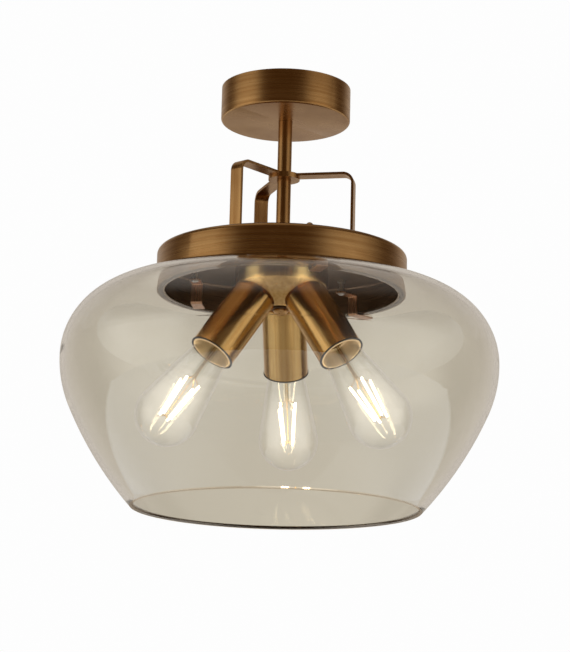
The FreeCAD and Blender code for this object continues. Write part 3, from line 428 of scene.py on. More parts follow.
def thin_glass(name, tint, haze_middle=None):
    """Thin blown glass: clear where it is seen square on, with a sheen at its edges and a painted glow of
    the filaments' light.
    """
    sheet = NodeSheet(name)
    bumped = sheet.bump(sheet.noise(sheet.object_position(), BULB_RIPPLE), strength=0.08, depth=0.001)
    facing = sheet.facing(Normal=bumped)
    share = sheet.spread(sheet.number("POWER", facing, 4.0), 0.03, 0.55)
    clear = sheet.add("BsdfTransparent", Color=(*tint, 1))
    sheen = sheet.add("BsdfGlossy", Color=(1, 1, 1, 1), Roughness=0.02, Normal=bumped)
    glass = sheet.mix(share, clear, sheen)
    if haze_middle is None:
        return sheet.finish(glass)
    # The glass itself glows round the lit sticks: painted glow, strongest near them and where the glass is
    # seen square on.
    place = sheet.add("TexCoord").outputs["Object"]
    centred = sheet.add("Mapping", Vector=place, Location=haze_middle, Scale=(PAINTED_GLOW_SCALE,) * 3)
    ball = sheet.add("TexGradient", gradient_type="SPHERICAL", Vector=centred.outputs[0])
    depth = sheet.spread(ball.outputs["Fac"], 0.0, PAINTED_GLOW_STRENGTH, 0.0, 0.6)
    level = sheet.number("MULTIPLY", sheet.square_on(facing, 1.6), depth)
    haze = sheet.add("Emission", Color=PAINTED_GLOW_COLOUR, Strength=level)
    return unsampled(sheet.finish(sheet.sum(glass, haze)))


def unsampled(material):
    """A glow that is seen but isn't counted among the lamps."""
    material.cycles.emission_sampling = "NONE"
    return material


def near_strength(sheet, strength):
    """A glow that is mirrored by the bulb's own glass but not by the shade's wall further off."""
    far = sheet.number("GREATER_THAN", sheet.add("LightPath").outputs["Ray Length"], MIRROR_REACH)
    return sheet.spread(sheet.number("MULTIPLY", far, sheet.sight()[1]), strength, 0.0)


def lit_stick(name, colour, strength):
    """Glowing phosphor with a slight unevenness along the stick."""
    sheet = NodeSheet(name)
    grain = sheet.noise(sheet.object_position(), STICK_GRAIN)
    glow = sheet.add("Emission", Color=sheet.blend(grain, darker(colour, 0.92), colour),
                     Strength=near_strength(sheet, strength))
    return unsampled(sheet.finish(glow))


def glow_coat(name, colour, strength):
    """The translucent coat round a lit stick, brightest where it is seen square on."""
    sheet = NodeSheet(name)
    share = sheet.spread(sheet.square_on(sheet.facing(), 2.5), 0.0, 0.45)
    glow = sheet.add("Emission", Color=(*colour, 1), Strength=near_strength(sheet, strength))
    return unsampled(sheet.finish(sheet.mix(share, sheet.add("BsdfTransparent"), glow)))


# ---------------------------------------------------------------- mesh helpers
def add_object(name, mesh, materials=()):
    for material in materials:
        mesh.materials.append(material)
    piece = bpy.data.objects.new(name, mesh)
    bpy.context.scene.collection.objects.link(piece)
    return piece


def shade_smooth(mesh):
    mesh.polygons.foreach_set("use_smooth", [True] * len(mesh.polygons))
    mesh.set_sharp_from_angle(angle=SMOOTH_ANGLE)


def plain_mesh(name, carrier):
    """The mesh that a curve or a modifier makes, without its carrier."""
    bpy.context.view_layer.update()
    graph = bpy.context.evaluated_depsgraph_get()
    mesh = bpy.data.meshes.new_from_object(carrier.evaluated_get(graph), depsgraph=graph)
    bpy.data.objects.remove(carrier)
    mesh.name = name
    shade_smooth(mesh)
    return mesh


def arc_points(centre, radius, start, end, steps):
    """Points on an arc in a half section, from one angle to another."""
    points = []
    for step in range(steps + 1):
        angle = start + (end - start) * step / steps
        points.append((centre[0] + radius * math.cos(angle), centre[1] + radius * math.sin(angle)))
    return points


def raised(section, height):
    """A half section lifted to its place on the axis."""
    return [(radius, height + up) for radius, up in section]


def lathe(name, section, steps, materials, place=Matrix(), closed=True):
    """Spin a half section of (radius, height) points in millimetres into a closed skin."""
    shape = bmesh.new()
    rings = []
    for radius, height in section:
        ring = []
        for step in range(1 if radius < POLE_RADIUS else steps):
            angle = FULL_TURN * step / steps
            across = radius * math.cos(angle) * MM
            along = radius * math.sin(angle) * MM
            ring.append(shape.verts.new((across, along, height * MM)))
        rings.append(ring)
    pairs = list(zip(rings, rings[1:]))
    if closed:
        pairs.append((rings[-1], rings[0]))
    for first, second in pairs:
        for step in range(steps):
            after = (step + 1) % steps
            corners = [first[step % len(first)], first[after % len(first)],
                       second[after % len(second)], second[step % len(second)]]
            corners = list(dict.fromkeys(corners))
            if len(corners) > 2:
                shape.faces.new(corners)
    bmesh.ops.recalc_face_normals(shape, faces=shape.faces)
    mesh = bpy.data.meshes.new(name)
    shape.to_mesh(mesh)
    shape.free()
    mesh.transform(place)
    shade_smooth(mesh)
    return add_object(name, mesh, materials)


def refined(node, material, bevel=0.0):
    """A smooth, soft-edged stand-in for a CAD node, made from a merged copy of its mesh."""
    shape = bmesh.new()
    shape.from_mesh(frame["nodes"][node].data)
    bmesh.ops.remove_doubles(shape, verts=shape.verts, dist=MERGE_DISTANCE)
    mesh = bpy.data.meshes.new(node + "_fine")
    shape.to_mesh(mesh)
    shape.free()
    mesh.materials.clear()
    shade_smooth(mesh)
    piece = add_object(node + "_fine", mesh, [material])
    if bevel:
        edge = piece.modifiers.new("soft edges", "BEVEL")
        edge.width = bevel * MM
        edge.segments = 2
        edge.limit_method = "ANGLE"
        edge.angle_limit = BEVEL_ANGLE
        edge.harden_normals = True
    return piece


def settle(piece, body, slot, *nodes):
    """Hang a piece on the body that carries it and hide the nodes it stands for; the finish slot is not
    used.
    """
    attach(piece, body)
    if nodes:
        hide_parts(*nodes)


def dress(node, material, slot, bevel=0.0, body="fixture"):
    """Put a refined copy of a CAD node in its place."""
    settle(refined(node, material, bevel), body, slot, node)


def wire_mesh(name, runs, radius, place, materials):
    """Round wires along rows of points, as one mesh."""
    curve = bpy.data.curves.new(name, "CURVE")
    curve.dimensions = "3D"
    curve.bevel_depth = radius * MM
    curve.bevel_resolution = 3
    curve.use_fill_caps = True
    for run in runs:
        spline = curve.splines.new("POLY")
        spline.points.add(len(run) - 1)
        for point, spot in zip(spline.points, run):
            point.co = (*(Vector(spot) * MM), 1)
    mesh = plain_mesh(name, add_object(name + "_line", curve))
    mesh.transform(place)
    mesh.materials.clear()
    return add_object(name, mesh, materials)


def join_pieces(name, pieces):
    """One mesh from several, each with its own materials."""
    mesh = bpy.data.meshes.new(name)
    shape = bmesh.new()
    materials = []
    for piece in pieces:
        first = len(shape.faces)
        shape.from_mesh(piece.data)
        shape.faces.ensure_lookup_table()
        for face in shape.faces[first:]:
            face.material_index += len(materials)
        materials += list(piece.data.materials)
        bpy.data.objects.remove(piece)
    shape.to_mesh(mesh)
    shape.free()
    shade_smooth(mesh)
    return add_object(name, mesh, materials)


def lamp_place(lamp):
    """The frame of one lamp: origin at the apex, +Z down its axis."""
    joint = next(j for j in frame["joints"] if j["name"] == f"bulb_{lamp}_withdraw")
    axis = Vector(joint["axis"]).normalized()
    tilt = math.acos(-axis.z)
    azimuth = math.atan2(axis.x, -axis.y)
    turn = Matrix.Rotation(azimuth - QUARTER_TURN, 4, "Z") @ Matrix.Rotation(HALF_TURN - tilt, 4, "Y")
    return Matrix.Translation((0, 0, LAMP_APEX * MM)) @ turn


def grain_turn(lamp):
    """The turn that brings a lamp's axis onto a material's Z."""
    return lamp_place(lamp).to_3x3().transposed().to_euler("XYZ")


# ---------------------------------------------------------------- geometry nodes
class FormTree:
    """A geometry node tree with named inputs for its sizes and its material."""

    def __init__(self, name, **inputs):
        self.tree = bpy.data.node_groups.new(name, "GeometryNodeTree")
        socket = self.tree.interface.new_socket
        socket("Geometry", in_out="INPUT", socket_type="NodeSocketGeometry")
        socket("Geometry", in_out="OUTPUT", socket_type="NodeSocketGeometry")
        self.keys = {}
        for key, kind in (*inputs.items(), ("Material", "Material")):
            label = key.replace("_", " ")
            made = socket(label, in_out="INPUT", socket_type="NodeSocket" + kind)
            self.keys[label] = made.identifier
        self.given = self.tree.nodes.new("NodeGroupInput").outputs

    def add(self, kind, **values):
        return new_node(self.tree, kind, values)

    def finish(self, geometry):
        """End the tree in real geometry with its material."""
        real = self.add("GeometryNodeRealizeInstances", Geometry=geometry)
        dressed = self.add("GeometryNodeSetMaterial", Geometry=real.outputs[0],
                           Material=self.given["Material"])
        out = self.tree.nodes.new("NodeGroupOutput")
        self.tree.links.new(dressed.outputs[0], out.inputs[0])

    def run(self, name, base, values):
        """Run the tree on a base mesh and keep the plain mesh that it makes."""
        carrier = add_object(name + "_source", base)
        modifier = carrier.modifiers.new("form", "NODES")
        modifier.node_group = self.tree
        for label, value in values.items():
            modifier[self.keys[label]] = value
        return add_object(name, plain_mesh(name, carrier))


def thread_tree():
    """A rolled screw thread: a round bead that winds up a cylinder."""
    form = FormTree("Rolled thread", Radius="Float", Height="Float", Turns="Float", Bead="Float",
                    Start="Float")
    given = form.given
    spiral = form.add("GeometryNodeCurveSpiral", Resolution=40, Rotations=given["Turns"],
                      Start_Radius=given["Radius"], End_Radius=given["Radius"], Height=given["Height"])
    bead = form.add("GeometryNodeCurvePrimitiveCircle", Resolution=10, Radius=given["Bead"])
    wound = form.add("GeometryNodeCurveToMesh", Curve=spiral.outputs[0],
                     Profile_Curve=bead.outputs["Curve"], Fill_Caps=True)
    lift = form.add("ShaderNodeCombineXYZ", Z=given["Start"])
    moved = form.add("GeometryNodeTransform", Geometry=wound.outputs[0], Translation=lift.outputs[0])
    form.finish(moved.outputs[0])
    return form


def bead_tree():
    """Light-emitting beads in a row along every stick of the base mesh."""
    form = FormTree("Stick beads", Count="Int", Bead_radius="Float", Bead_length="Float")
    given = form.given
    sticks = form.add("GeometryNodeMeshToCurve", Mesh=given["Geometry"])
    spaced = form.add("GeometryNodeResampleCurve", Curve=sticks.outputs[0], Count=given["Count"])
    bead = form.add("GeometryNodeMeshCylinder", Vertices=12, Radius=given["Bead radius"],
                    Depth=given["Bead length"])
    tangent = form.add("GeometryNodeInputTangent")
    aim = form.add("FunctionNodeAlignEulerToVector", axis="Z", Vector=tangent.outputs[0])
    placed = form.add("GeometryNodeInstanceOnPoints", Points=spaced.outputs[0],
                      Instance=bead.outputs["Mesh"], Rotation=aim.outputs[0])
    form.finish(placed.outputs[0])
    return form


# ---------------------------------------------------------------- finishes
def colours():
    return bpy.context.scene.light_colours


def darker(colour, share):
    return tuple(channel * share for channel in colour)


def material_once(name, make, *values, **named):
    """A material by name, made the first time it is asked for."""
    found = bpy.data.materials.get(name)
    return found or make(name, *values, **named)


def brass(grain):
    """The brown antique brass, brushed along or round."""
    paint = colours()
    return material_once("antique brass " + grain, brushed_metal, paint.brass, paint.brass_shade,
                         along=grain == "along", roughness=(0.24, 0.36))


def tube_brass(name, turn=(0, 0, 0)):
    """The yellower, glossier brass of the hub and the lampholder tubes."""
    paint = colours()
    return material_once("tube brass " + name, brushed_metal, paint.tube_brass, paint.tube_patina,
                         turn=turn, roughness=(0.15, 0.24))


def zinc():
    return material_once("zinc plate", cast_metal, colours().zinc, darker(colours().zinc, 0.72))


def bright_brass():
    paint = colours().bright_brass
    return material_once("bright brass", cast_metal, paint, darker(paint, 0.8), (0.18, 0.32))


def holder_cream():
    return material_once("holder cream", moulded_plastic, colours().cream, darker(colours().cream, 0.86))


def black_moulding():
    return material_once("black moulding", moulded_plastic, colours().black, darker(colours().black, 0.5))


# ---------------------------------------------------------------- operators
class LIGHT_OT_brasswork(bpy.types.Operator):
    """Dress the rose, rod, spider, gallery, hub and tubes in brushed brass"""

    bl_idname = "ceiling_light.brasswork"
    bl_label = "Brasswork"

    def execute(self, context):
        for node, grain, bevel in (
            ("ceiling_rose", "round", 0.3), ("down_rod", "along", 0.0), ("spider_collar", "along", 0.3),
            ("spider_strap_right", "along", 0.25), ("spider_strap_left", "along", 0.25),
            ("spider_strap_back", "along", 0.25), ("clip_cap_nuts", "along", 0.2),
            ("hub_cap_nut", "along", 0.2),
        ):
            dress(node, brass(grain), "antique_brass", bevel)
        dress("lamp_hub", tube_brass("hub"), "antique_brass", 0.3)
        self.gallery()
        for lamp in LAMPS:
            dress("holder_tube_" + lamp, tube_brass(lamp, grain_turn(lamp)), "antique_brass")
        return {"FINISHED"}

    def gallery(self):
        """The gallery pan, brass outside and a darker copy of the brass inside: painted shade in the pan's
        recess.
        """
        pan = refined("gallery_pan", brass("round"))
        painted_pan_shade = colours().pan_inside
        pan.data.materials.append(
            material_once("pan inside", brushed_metal, painted_pan_shade, darker(painted_pan_shade, 0.7), along=False))
        # Faces inside the pan take the darker copy of the brass: painted shade where the recess lies in
        # shadow.
        for face in pan.data.polygons:
            middle = face.center
            inside = math.hypot(middle.x, middle.y) < PAN_INSIDE * MM
            if inside and middle.z < PAN_UNDERSIDE * MM:
                face.material_index = 1
        settle(pan, "fixture", "antique_brass", "gallery_pan")


class LIGHT_OT_fixings(bpy.types.Operator):
    """Dress the bracket, screws, nuts, washers and terminals"""

    bl_idname = "ceiling_light.fixings"
    bl_label = "Fixings"

    def execute(self, context):
        for node, bevel in (
            ("ceiling_bracket", 0.2), ("bracket_bush", 0.2), ("top_nipple", 0.0), ("centre_stud", 0.0),
            ("holder_nipples", 0.0), ("holder_nuts", 0.2), ("rose_side_screws", 0.0),
            ("collar_grub_screw", 0.0), ("strap_collar_screws", 0.0), ("strap_foot_screws", 0.1),
            ("strap_foot_nuts", 0.2), ("clip_screws", 0.1), ("clip_plate_nuts", 0.2),
            ("clip_lock_nuts", 0.2),
        ):
            dress(node, zinc(), "zinc_steel", bevel)
        dress("terminal_block", holder_cream(), "white_plastic", 0.2)
        dress("terminal_screws", bright_brass(), "bright_brass", 0.1)
        dress("tube_washers", black_moulding(), "black_plastic", 0.1)
        # Dark washer: partly its own tone, partly painted shadow of the gap under the hub.
        bronze = material_once("dark bronze", cast_metal, colours().bronze, WASHER_GAP_SHADE_DARK)
        dress("hub_washer", bronze, "antique_brass", 0.15)
        return {"FINISHED"}


class LIGHT_OT_clips(bpy.types.Operator):
    """Dress the three swivelling glass clips"""

    bl_idname = "ceiling_light.clips"
    bl_label = "Glass clips"

    def execute(self, context):
        copper = colours().copper
        brushed = material_once("clip copper", brushed_metal, copper, darker(copper, 0.7),
                                roughness=(0.24, 0.36))
        for clip in CLIPS:
            dress("glass_clip_" + clip, brushed, "clip_copper", 0.15, body="clip_" + clip)
        return {"FINISHED"}


def shade_side(sizes, inset):
    """The shade's side in half section as tangent arcs, from hole to rim, at an inset from its outside."""
    points = [(sizes.hole_radius / MM, GALLERY_RIM - inset)]
    outside = Vector((sizes.flat_radius / MM, GALLERY_RIM))
    heading = 0.0
    for radius, turn in SHADE_ARCS:
        lean = math.radians(heading)
        centre = outside + Vector((-math.sin(lean), -math.cos(lean))) * radius
        start = QUARTER_TURN - lean
        end = start - math.radians(turn)
        points += arc_points(centre, radius - inset, start, end, ARC_STEPS)
        heading += turn
        outside = Vector(arc_points(centre, radius, end, end, 1)[0])
    return points, math.radians(heading)


def lip_points(outer, inner, wall, start):
    """The round lip from the outer wall to the inner one."""
    centre = ((outer[0] + inner[0]) / 2, (outer[1] + inner[1]) / 2)
    return arc_points(centre, wall / 2, start, start - HALF_TURN, LIP_STEPS)[1:-1]


class LIGHT_OT_shade(bpy.types.Operator):
    """Blow the smoke-tinted glass shade"""

    bl_idname = "ceiling_light.shade"
    bl_label = "Glass shade"

    def execute(self, context):
        sizes = context.scene.shade_sizes
        wall = sizes.wall / MM
        outer, heading = shade_side(sizes, 0.0)
        inner, _ = shade_side(sizes, wall)
        rim = lip_points(outer[-1], inner[-1], wall, QUARTER_TURN - heading)
        hole = lip_points(outer[0], inner[0], wall, -QUARTER_TURN)
        outside = material_once("smoke glass", thick_glass, colours().smoke)
        inside = material_once("smoke glass inside", thick_glass, (1, 1, 1))
        lip = material_once("smoke glass lip", lip_glass, LIP_TINT, LIP_SHEEN)
        shade = lathe("glass_shade_blown", outer + rim + inner[::-1] + hole, ROUND_STEPS,
                      [outside, inside, lip])
        first_rim = (len(outer) - 1) * ROUND_STEPS
        first_inner = (len(outer) + len(rim)) * ROUND_STEPS
        last_inner = first_inner + (len(inner) - 1) * ROUND_STEPS
        for index, face in enumerate(shade.data.polygons):
            if first_rim <= index < first_inner or index >= last_inner:
                face.material_index = 2
            elif index >= first_inner:
                face.material_index = 1
        settle(shade, "fixture", "smoke_glass", "glass_shade")
        return {"FINISHED"}


class LIGHT_OT_lampholders(bpy.types.Operator):
    """Dress the mouth rings, insulating bodies and contacts of the lampholders"""

    bl_idname = "ceiling_light.lampholders"
    bl_label = "Lampholders"

    def execute(self, context):
        for lamp in LAMPS:
            dress("mouth_ring_" + lamp, black_moulding(), "black_plastic", 0.12)
            dress("lampholder_body_" + lamp, holder_cream(), "white_plastic", 0.25)
            dress("screw_shell_" + lamp, bright_brass(), "bright_brass")
            dress("centre_contact_" + lamp, bright_brass(), "bright_brass", 0.15)
        return {"FINISHED"}


def bulb_side(sizes, inset):
    """The bulb's side in half section: neck, flare, cone and round end."""
    radius = sizes.radius / MM
    end = CAP_RIM + sizes.length / MM
    centre = end - radius
    flare_end = CAP_RIM + NECK_FLARE_LENGTH
    run = centre - flare_end
    reach = math.hypot(run, NECK_FLARE_RADIUS)
    lean = QUARTER_TURN - math.acos(radius / reach) - math.atan2(NECK_FLARE_RADIUS, run)
    ball = radius - inset
    neck = NECK_RADIUS - inset
    flare = (NECK_FLARE_RADIUS - inset, flare_end)
    points = [(neck, STEM_FOOT)]
    points += [(neck + out, CAP_RIM + up) for out, up in NECK_BEND_FROM_RIM]
    points += [(flare[0] + NECK_BEFORE_FLARE[0], flare[1] + NECK_BEFORE_FLARE[1]), flare]
    touch = (ball * math.cos(lean), centre - ball * math.sin(lean))
    for step in range(1, CONE_STEPS):
        share = step / CONE_STEPS
        points.append((flare[0] + (touch[0] - flare[0]) * share, flare[1] + (touch[1] - flare[1]) * share))
    points += arc_points((0, centre), ball, -lean, QUARTER_TURN, 2 * ARC_STEPS)
    return points, end


def filament_ends(sizes, index):
    """The upper and lower end of one lit stick."""
    angle = math.radians(360 / FILAMENT_COUNT * index + FILAMENT_TURN)
    start = CAP_RIM + sizes.filament_start / MM
    end = start + sizes.filament_length / MM
    out = Vector((math.cos(angle), math.sin(angle), 0))
    return (out * (sizes.upper_spread / MM) + Vector((0, 0, start)),
            out * (sizes.lower_spread / MM) + Vector((0, 0, end)))


def lead_points(out, way, height):
    """Points of a lead in the plane of its stick."""
    return [out * distance + Vector((0, 0, height + up)) for distance, up in way]


class LIGHT_OT_bulbs(bpy.types.Operator):
    """Make the filament bulbs: glass, screw cap, stem, leads and lit sticks"""

    bl_idname = "ceiling_light.bulbs"
    bl_label = "Filament bulbs"

    def execute(self, context):
        sizes = context.scene.bulb_sizes
        for lamp in LAMPS:
            place = lamp_place(lamp)
            self.glass(sizes, lamp, place)
            self.cap(lamp, place)
            self.stem(sizes, lamp, place)
            self.sticks(sizes, lamp, place, context.scene.studio_settings.filament_strength)
        return {"FINISHED"}

    def glass(self, sizes, lamp, place):
        """The clear envelope with its sealed tip."""
        outer, end = bulb_side(sizes, 0.0)
        inner, _ = bulb_side(sizes, sizes.wall / MM)
        section = outer[:-3] + raised(TIP_FROM_END, end)
        inside = inner[:-1] + [(0.0, inner[-1][1])]
        # Middle of the painted glow on this bulb's glass.
        middle = place @ Vector((0, 0, PAINTED_GLOW_HEIGHT * MM))
        clear = material_once("bulb glass " + lamp, thin_glass, BULB_TINT,
                              haze_middle=tuple(-middle * PAINTED_GLOW_SCALE))
        envelope = lathe("bulb_glass_" + lamp, section + inside[::-1], BULB_STEPS, [clear], place)
        settle(envelope, "bulb_" + lamp, "clear_glass", "bulb_envelope_" + lamp)

    def cap(self, lamp, place):
        """The brass cap with its rolled thread and dark insulator."""
        shell = (raised(CAP_FROM_SHOULDER, CAP_SHOULDER) + raised(CAP_FROM_RIM, CAP_RIM)
                 + raised(CAP_INSIDE_FROM_SHOULDER, CAP_SHOULDER))
        rest = raised(INSULATOR_FROM_START, CAP_START) + raised(INSULATOR_FROM_SHOULDER, CAP_SHOULDER)
        button = raised(CONTACT_FROM_START, CAP_START)
        pieces = []
        for name, section, material in (
            ("cap_sleeve_", shell, bright_brass()),
            ("cap_insulator_", rest, black_moulding()),
            ("cap_button_", button, bright_brass()),
        ):
            pieces.append(lathe(name + lamp, section, BULB_STEPS, [material], place, closed=False))
        empty = bpy.data.meshes.new("thread_base_" + lamp)
        thread = thread_tree().run("cap_thread_" + lamp, empty, {
            "Radius": (CAP_CORE - THREAD_SINK) * MM, "Height": THREAD_LENGTH * MM, "Turns": THREAD_TURNS,
            "Bead": THREAD_BEAD * MM, "Start": (CAP_SHOULDER + THREAD_START) * MM,
            "Material": bright_brass()})
        thread.data.transform(place)
        whole = join_pieces("bulb_cap_threaded_" + lamp, [*pieces, thread])
        settle(whole, "bulb_" + lamp, "bright_brass", "bulb_cap_" + lamp)

    def stem(self, sizes, lamp, place):
        """The glass mount with its gold leads."""
        top = CAP_RIM + sizes.stem_length / MM
        edge = STEM_FOOT + STEM_FLARE_EDGE
        section = [(0.0, STEM_FOOT), (STEM_FLARE_RADIUS, STEM_FOOT),
                   (STEM_FLARE_RADIUS - STEM_FLARE_ROUNDING, edge)]
        for step in range(1, FLARE_STEPS):
            share = step / FLARE_STEPS
            flare = (STEM_FLARE_RADIUS - STEM_RADIUS) * (1 - share) ** STEM_FLARE_CURVE
            section.append((STEM_RADIUS + flare, edge + STEM_FLARE_RADIUS * share))
        section += [(STEM_RADIUS, STEM_FOOT + STEM_FLARE_END)] + raised(STEM_FROM_TOP, top)
        clear = material_once("stem glass", thin_glass, STEM_TINT)
        mount = lathe("stem_glass_" + lamp, section, STEM_STEPS, [clear], place, closed=False)
        settle(mount, "bulb_" + lamp, "clear_glass", "bulb_stem_" + lamp)
        end = filament_ends(sizes, 0)[1].z
        runs = [[(0, 0, top - MIDDLE_WIRE_IN_STEM), (0, 0, end + MIDDLE_WIRE_PAST_END)]]
        for index in range(FILAMENT_COUNT):
            upper, lower = filament_ends(sizes, index)
            out = Vector((upper.x, upper.y, 0)).normalized()
            runs.append([*lead_points(out, LEAD_FROM_FOOT, STEM_FOOT),
                         *lead_points(out, LEAD_FROM_TOP, top), upper])
            runs.append([lower, *lead_points(out, LEAD_FROM_END, end)])
        gold = material_once("gold leads", cast_metal, colours().gold, GOLD_SHADE, (0.16, 0.28))
        leads = wire_mesh("bulb_leads_" + lamp, runs, LEAD_RADIUS, place, [gold])
        settle(leads, "bulb_" + lamp, "bright_brass")

    def sticks(self, sizes, lamp, place, strength):
        """The lit sticks: a row of beads in a glowing coat."""
        glow = tuple(colours().glow)
        ends = [filament_ends(sizes, index) for index in range(FILAMENT_COUNT)]
        base = bpy.data.meshes.new("stick_lines_" + lamp)
        points = [Vector(point) * MM for pair in ends for point in pair]
        base.from_pydata(points, [(2 * i, 2 * i + 1) for i in range(FILAMENT_COUNT)], [])
        beads = bead_tree().run("stick_beads_" + lamp, base, {
            "Count": sizes.bead_count, "Bead radius": BEAD_RADIUS * MM, "Bead length": BEAD_LENGTH * MM,
            "Material": material_once("lit stick", lit_stick, glow, strength)})
        beads.data.transform(place)
        runs = []
        for upper, lower in ends:
            way = (lower - upper).normalized()
            runs.append([upper + way * COAT_END, lower - way * COAT_END])
        coat = material_once("glowing coat", glow_coat, glow, strength * COAT_GLOW_SHARE)
        sleeve = wire_mesh("stick_coats_" + lamp, runs, COAT_RADIUS, place, [coat])
        whole = join_pieces("bulb_sticks_" + lamp, [beads, sleeve])
        settle(whole, "bulb_" + lamp, "warm_filament", "bulb_filaments_" + lamp)


# ---------------------------------------------------------------- studio, in metres
SHADE_MIDDLE = (0.0, 0.0, -0.2)
HUB_MIDDLE = (0.0, 0.0, -0.19)
OVERHEAD_SPOT = (0.0, -0.4, 1.6)
OVERHEAD_SIZE = (2.0, 2.0)
HUB_SHEEN_LEFT = (-1.0, -0.33, -0.3)
HUB_SHEEN_LEFT_SIZE = (0.6, 1.5)
HUB_SHEEN_RIGHT = (0.82, -0.65, -0.3)
HUB_SHEEN_RIGHT_SIZE = (0.55, 1.5)
TUBE_SHEEN = (-0.35, -0.08, 0.8)
TUBE_SHEEN_SIZE = (2.0, 1.1)
COOL_LIGHT = (0.92, 1.0, 1.0)
COPPER_LIGHT = (1.0, 0.6, 0.36)
BULB_LIGHT = (1.0, 0.84, 0.6)
BULB_LIGHT_RADIUS = 0.012
# The soft boxes beside the light: where each one starts, is full, is full still and ends, in degrees.
LEFT_BOX = (-112, -84, -60, -40)
RIGHT_BOX = (26, 52, 70, 106)
BOX_TOP_START = 0.2
BOX_TOP_END = 0.44
# Where light from above, and the wall behind, begin and are full, by the share of a direction.
CEILING_START = 0.7
CEILING_FULL = 0.86
CEILING_SIDES = (0.6, -0.4)
CEILING_RIGHT_SHARE = 0.7
WALL_START = 0.4
WALL_FULL = 0.9
BOX_COLOUR = (1.0, 0.96, 0.88, 1)
CORNER_COLOUR = (1.0, 0.62, 0.32, 1)
ROOM_WHITE = (0.985, 0.985, 0.985, 1)
FLOOR_HEIGHT = -1.25
FLOOR_RADIUS = 3.0
CAMERA_SPOT = (0.0, -1.93346, -0.6688)
CAMERA_PITCH = math.radians(12.895)
CAMERA_YAW = math.radians(0.124)
CAMERA_ROLL = math.radians(1.408)
CAMERA_LENS = 120.19
# Which pieces each group of lights shines on, by how their names start.
LIT_GROUPS = {
    "brass lit by the bulbs": ("holder_tube", "lamp_hub", "hub_"),
    "holders lit by the bulbs": ("lampholder", "mouth_ring", "screw_shell", "bulb_cap"),
    "hub sheen": ("lamp_hub",),
    "tube sheen": ("holder_tube",),
    "sheen blockers": ("floor",),
}


def add_camera():
    """The camera of the photograph, slightly rolled and looking up at the light."""
    forward = Vector((math.sin(CAMERA_YAW) * math.cos(CAMERA_PITCH),
                      math.cos(CAMERA_YAW) * math.cos(CAMERA_PITCH), math.sin(CAMERA_PITCH)))
    right = Vector((math.cos(CAMERA_YAW), -math.sin(CAMERA_YAW), 0))
    up = right.cross(forward)
    rolled_right = right * math.cos(CAMERA_ROLL) + up * math.sin(CAMERA_ROLL)
    rolled_up = up * math.cos(CAMERA_ROLL) - right * math.sin(CAMERA_ROLL)
    lens = bpy.data.cameras.new("studio camera")
    lens.lens = CAMERA_LENS
    lens.sensor_width = 36.0
    lens.clip_end = 50.0
    camera = add_object("studio_camera", lens)
    turn = Matrix((rolled_right, rolled_up, -forward)).transposed().to_4x4()
    camera.matrix_world = Matrix.Translation(CAMERA_SPOT) @ turn
    bpy.context.scene.camera = camera


class RoomSheet(NodeSheet):
    """The world's node tree, with light by direction."""

    def __init__(self, name):
        super().__init__(name, "worlds", "OutputWorld")
        parts = self.add("SeparateXYZ", Vector=self.add("TexCoord").outputs["Generated"])
        self.x, self.y, self.z = parts.outputs
        self.azimuth = self.number("ARCTAN2", self.x, self.number("MULTIPLY", self.y, -1.0))

    def step(self, value, start, end):
        """A soft step from 0 to 1; it falls instead where the end comes before the start."""
        falls = float(end < start)
        node = self.add("MapRange", interpolation_type="SMOOTHSTEP", Value=value, From_Min=min(start, end),
                        From_Max=max(start, end), To_Min=falls, To_Max=1.0 - falls)
        return node.outputs["Result"]

    def box(self, edges, level):
        """A soft box beside the light that ends a little above the horizon."""
        edges = [math.radians(edge) for edge in edges]
        rise = self.step(self.azimuth, edges[0], edges[1])
        fall = self.step(self.azimuth, edges[3], edges[2])
        tall = self.step(self.z, BOX_TOP_END, BOX_TOP_START)
        band = self.number("MULTIPLY", rise, fall)
        return self.number("MULTIPLY", self.number("MULTIPLY", band, tall), level)

    def ceiling(self, level):
        """Light from high up, stronger at the left."""
        aside = self.number("ADD", self.step(self.x, *CEILING_SIDES), CEILING_RIGHT_SHARE)
        high = self.number("MULTIPLY", self.step(self.z, CEILING_START, CEILING_FULL), aside)
        return self.number("MULTIPLY", high, level)

    def wall(self, level):
        """The pale wall behind the light."""
        return self.number("MULTIPLY", self.step(self.y, WALL_START, WALL_FULL), level)


def add_room(settings):
    """A room that is white where it is looked at, with two soft boxes and a pale wall in the metal."""
    room = RoomSheet("studio room")
    bpy.context.scene.world = room.owner
    boxes = room.number("ADD", room.box(LEFT_BOX, settings.left_glow),
                        room.box(RIGHT_BOX, settings.right_glow))
    boxes = room.number("ADD", boxes, room.ceiling(settings.top_glow))
    lit = room.number("ADD", boxes, room.wall(settings.wall_glow))
    # What a mirror has turned round sees the soft boxes, also through the shade; all else sees white.
    dim = room.sum(room.add("Background", Color=BOX_COLOUR, Strength=lit),
                   room.add("Background", Color=CORNER_COLOUR, Strength=settings.room_level))
    white = room.add("Background", Color=ROOM_WHITE, Strength=1.0)
    room.finish(room.mix(room.sight()[0], dim, white))


